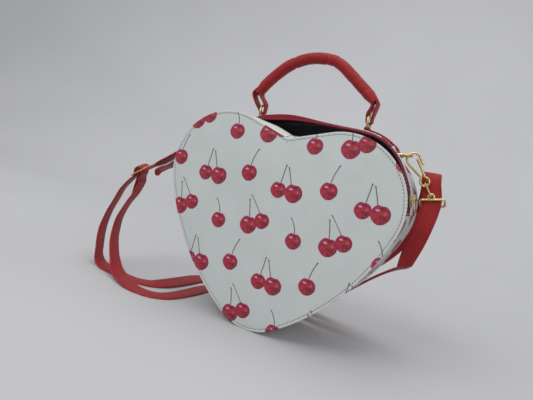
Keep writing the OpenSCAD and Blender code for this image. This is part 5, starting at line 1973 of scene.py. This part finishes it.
@dataclass
class Studio:
    """Camera, floor, world and lamps."""

    azimuth: float = 23.7
    elevation: float = 5.0
    roll: float = 12.9
    place: tuple[float, float, float] = (0.168, -0.4386, 0.1651)
    focal_px: float = 460.0
    frame_px: float = 533.0
    sensor: float = 36.0
    floor_half: float = 3.0
    wall_y: float = 1.3
    cove: float = 0.9
    cove_steps: int = 24
    wall_z: float = 3.2
    pale: Colour = (0.50, 0.50, 0.51)
    lamps: tuple[Lamp, ...] = (
        Lamp("key", (-0.9, -1.6, 2.0), (0.0, 0.0, 0.12), (1.6, 1.2), 24.0),
        Lamp("fill", (1.7, -1.5, 1.2), (0.0, 0.0, 0.10), (1.6, 1.4), 12.0),
        Lamp("top", (0.1, 0.35, 2.3), (0.0, 0.1, 0.15), (1.8, 1.4), 16.0),
    )

    def camera(self) -> Piece:
        """Build the camera at the photograph's place, tilted as the photograph is."""
        az, el, turn = (math.radians(a) for a in (self.azimuth, self.elevation, self.roll))
        back = Vector((math.sin(az) * math.cos(el), -math.cos(az) * math.cos(el), math.sin(el)))
        right0 = Vector((math.cos(az), math.sin(az), 0.0))
        up0 = back.cross(right0)
        right = right0 * math.cos(turn) + up0 * math.sin(turn)
        up = up0 * math.cos(turn) - right0 * math.sin(turn)
        data = bpy.data.cameras.new("camera")
        data.sensor_fit = "HORIZONTAL"
        data.sensor_width = self.sensor
        data.lens = self.sensor * self.focal_px / self.frame_px
        data.clip_start = 0.01
        data.clip_end = 50.0
        camera = bpy.data.objects.new("camera", data)
        turned = Matrix((right, up, back)).transposed().to_4x4()
        camera.matrix_world = Matrix.Translation(Vector(self.place)) @ turned
        bpy.context.scene.collection.objects.link(camera)
        bpy.context.scene.camera = camera
        return camera

    def floor(self) -> Piece:
        """Build the pale floor under the bag, which turns up into a wall far behind it."""
        h, wall, cove, top = (v / MM for v in (self.floor_half, self.wall_y, self.cove, self.wall_z))
        line = [(-h, 0.0), (0.0, 0.0), (wall - cove, 0.0)]
        turns = [math.pi / 2 * i / self.cove_steps for i in range(1, self.cove_steps + 1)]
        line += [(wall - cove + cove * math.sin(a), cove - cove * math.cos(a)) for a in turns]
        line.append((wall, top))
        points = [Vector((x, y, z)) for y, z in line for x in (-h, h)]
        faces = [[2 * i, 2 * i + 1, 2 * i + 3, 2 * i + 2] for i in range(len(line) - 1)]
        floor = build_mesh("studio_floor", points, faces)
        material, g, shader = new_material("studio_floor_paint")
        place = g.add("ShaderNodeTexCoord").outputs["Object"]
        cloud = g.noise(place, 2.2, 3.0, 0.5)
        darker = tuple(c * 0.965 for c in self.pale)
        g.feed(shader.inputs["Base Color"], g.mix(g.ease(cloud, 0.35, 0.65), (*darker, 1), (*self.pale, 1)))
        shader.inputs["Roughness"].default_value = 0.85
        shader.inputs["Specular IOR Level"].default_value = 0.15
        floor.data.materials.append(material)
        return floor

    def world(self) -> bpy.types.World:
        """Build the soft surroundings: pale to the eye and in reflections, dimmer as a light."""
        world = bpy.data.worlds.new("studio_world")
        world.use_nodes = True
        tree = world.node_tree
        tree.nodes.clear()
        g = Graph(tree)
        rays = g.add("ShaderNodeLightPath")
        seen = g.math("MAXIMUM", rays.outputs["Is Camera Ray"],
                      g.math("MAXIMUM", rays.outputs["Is Glossy Ray"], rays.outputs["Is Transmission Ray"]))
        shade = g.mix(seen, (0.56, 0.57, 0.59, 1), (*self.pale, 1))
        back = g.add("ShaderNodeBackground", {"Color": shade, "Strength": 1.0})
        g.add("ShaderNodeOutputWorld", {"Surface": back.outputs["Background"]})
        bpy.context.scene.world = world
        return world

    def build(self) -> None:
        """Build the whole studio."""
        self.camera()
        self.floor()
        self.world()
        for lamp in self.lamps:
            lamp.build()
        bpy.context.scene.view_settings.view_transform = "Standard"


# The bag


@dataclass
class Handbag:
    """Every modelled piece of the bag, each standing for the soft CAD nodes it replaces."""

    finishes: Finishes
    shape: BagShape = field(default_factory=BagShape)
    foam_y: Point = (35.8, 38.8)
    lining_y: Point = (35.0, 35.75)
    pieces: dict[str, Piece] = field(default_factory=dict)

    def put(self, piece: Piece, material: bpy.types.Material, slot: Slot, body: Body = Body.BAG,
            stands_for: Sequence[str] = ()) -> Piece:
        """Dress a piece and hide the CAD nodes it stands for.

        Args:
            piece: The new object.
            material: Its material.
            slot: The record's slot.
            body: The body that carries it.
            stands_for: CAD nodes it replaces.

        Returns:
            The same object.
        """
        dress(piece, material, slot, body)
        if stands_for:
            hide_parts(*stands_for)
        self.pieces[piece.name] = piece
        return piece

    def panels(self) -> None:
        """Build the two padded hearts with their foam and lining."""
        make = self.finishes
        for side, word in ((-1, "front"), (1, "back")):
            panel = Panel(self.shape, side)
            self.put(panel.build(word + "_panel_leather"), make.printed, Slot.PRINTED,
                     stands_for=(word + "_panel",))
            self.put(panel.seam(word + "_panel_stitches"), make.thread, Slot.PRINTED)
            foam = FlatHeart(self.shape, *sorted(side * y for y in self.foam_y), inset=4.2)
            self.put(foam.build(word + "_foam_pad"), make.foam, Slot.FOAM, stands_for=(word + "_foam",))
            cloth = FlatHeart(self.shape, *sorted(side * y for y in self.lining_y), inset=4.4, wrinkle=0.5)
            self.put(cloth.build(word + "_lining_cloth"), make.lining, Slot.LINING,
                     stands_for=(word + "_lining",))

    def gusset(self) -> None:
        """Build the strips round the edge with the zipper."""
        make, gusset = self.finishes, Gusset(self.shape)
        self.put(gusset.base(), make.printed, Slot.PRINTED, stands_for=("base_gusset",))
        self.put(gusset.base_lining(), make.lining, Slot.LINING, stands_for=("base_lining",))
        self.put(gusset.front(), make.printed, Slot.PRINTED, stands_for=("front_strip",))
        self.put(gusset.front_seam(), make.white_thread, Slot.PRINTED)
        self.put(gusset.rear(), make.printed, Slot.PRINTED, stands_for=("rear_strip",))
        self.put(gusset.rear_seam(), make.white_thread, Slot.PRINTED)
        self.put(gusset.rear_lining(), make.lining, Slot.LINING, stands_for=("rear_strip_lining",))
        zipper = Zipper(self.shape, gusset)
        self.put(zipper.front_tape(), make.tape, Slot.TAPE, stands_for=("front_zip_tape",))
        self.put(zipper.rear_tape(), make.tape, Slot.TAPE, stands_for=("rear_zip_tape",))
        self.put(zipper.rear_teeth(), make.teeth, Slot.TEETH, stands_for=("rear_zip_teeth",))

    def carriers(self) -> None:
        """Build the bands, the handle and the shoulder strap."""
        make = self.finishes
        for side, word in ((-1, "left"), (1, "right")):
            self.put(BandLoops(self.shape, side).build(word + "_band_leather"), make.red_band, Slot.RED,
                     stands_for=(word + "_band",))
        handle = Handle()
        self.put(handle.roll("handle_grip_leather", handle.deep, handle.wide, True), make.red_roll, Slot.RED,
                 Body.HANDLE, ("handle_grip",))
        self.put(handle.roll("handle_core_cord", handle.core_r, handle.core_r, False), make.filler,
                 Slot.FILLER, Body.HANDLE, ("handle_core",))
        for side, word in ((-1, "left"), (1, "right")):
            self.put(handle.end(word + "_handle_end_leather", side), make.red_band, Slot.RED, Body.HANDLE,
                     (word + "_handle_end",))
        self.put(ShoulderStrap().build(), make.red, Slot.RED, stands_for=("shoulder_strap",))


def main() -> None:
    """Build the scene."""
    logging.basicConfig(level=logging.INFO, format="%(name)s: %(message)s")
    finishes = Finishes()
    Studio().build()
    Hardware(frame["nodes"]).finish(finishes)
    bag = Handbag(finishes)
    bag.panels()
    bag.gusset()
    bag.carriers()
    LOG.info("%d pieces built", len(bag.pieces))


if __name__ == "__main__":
    main()
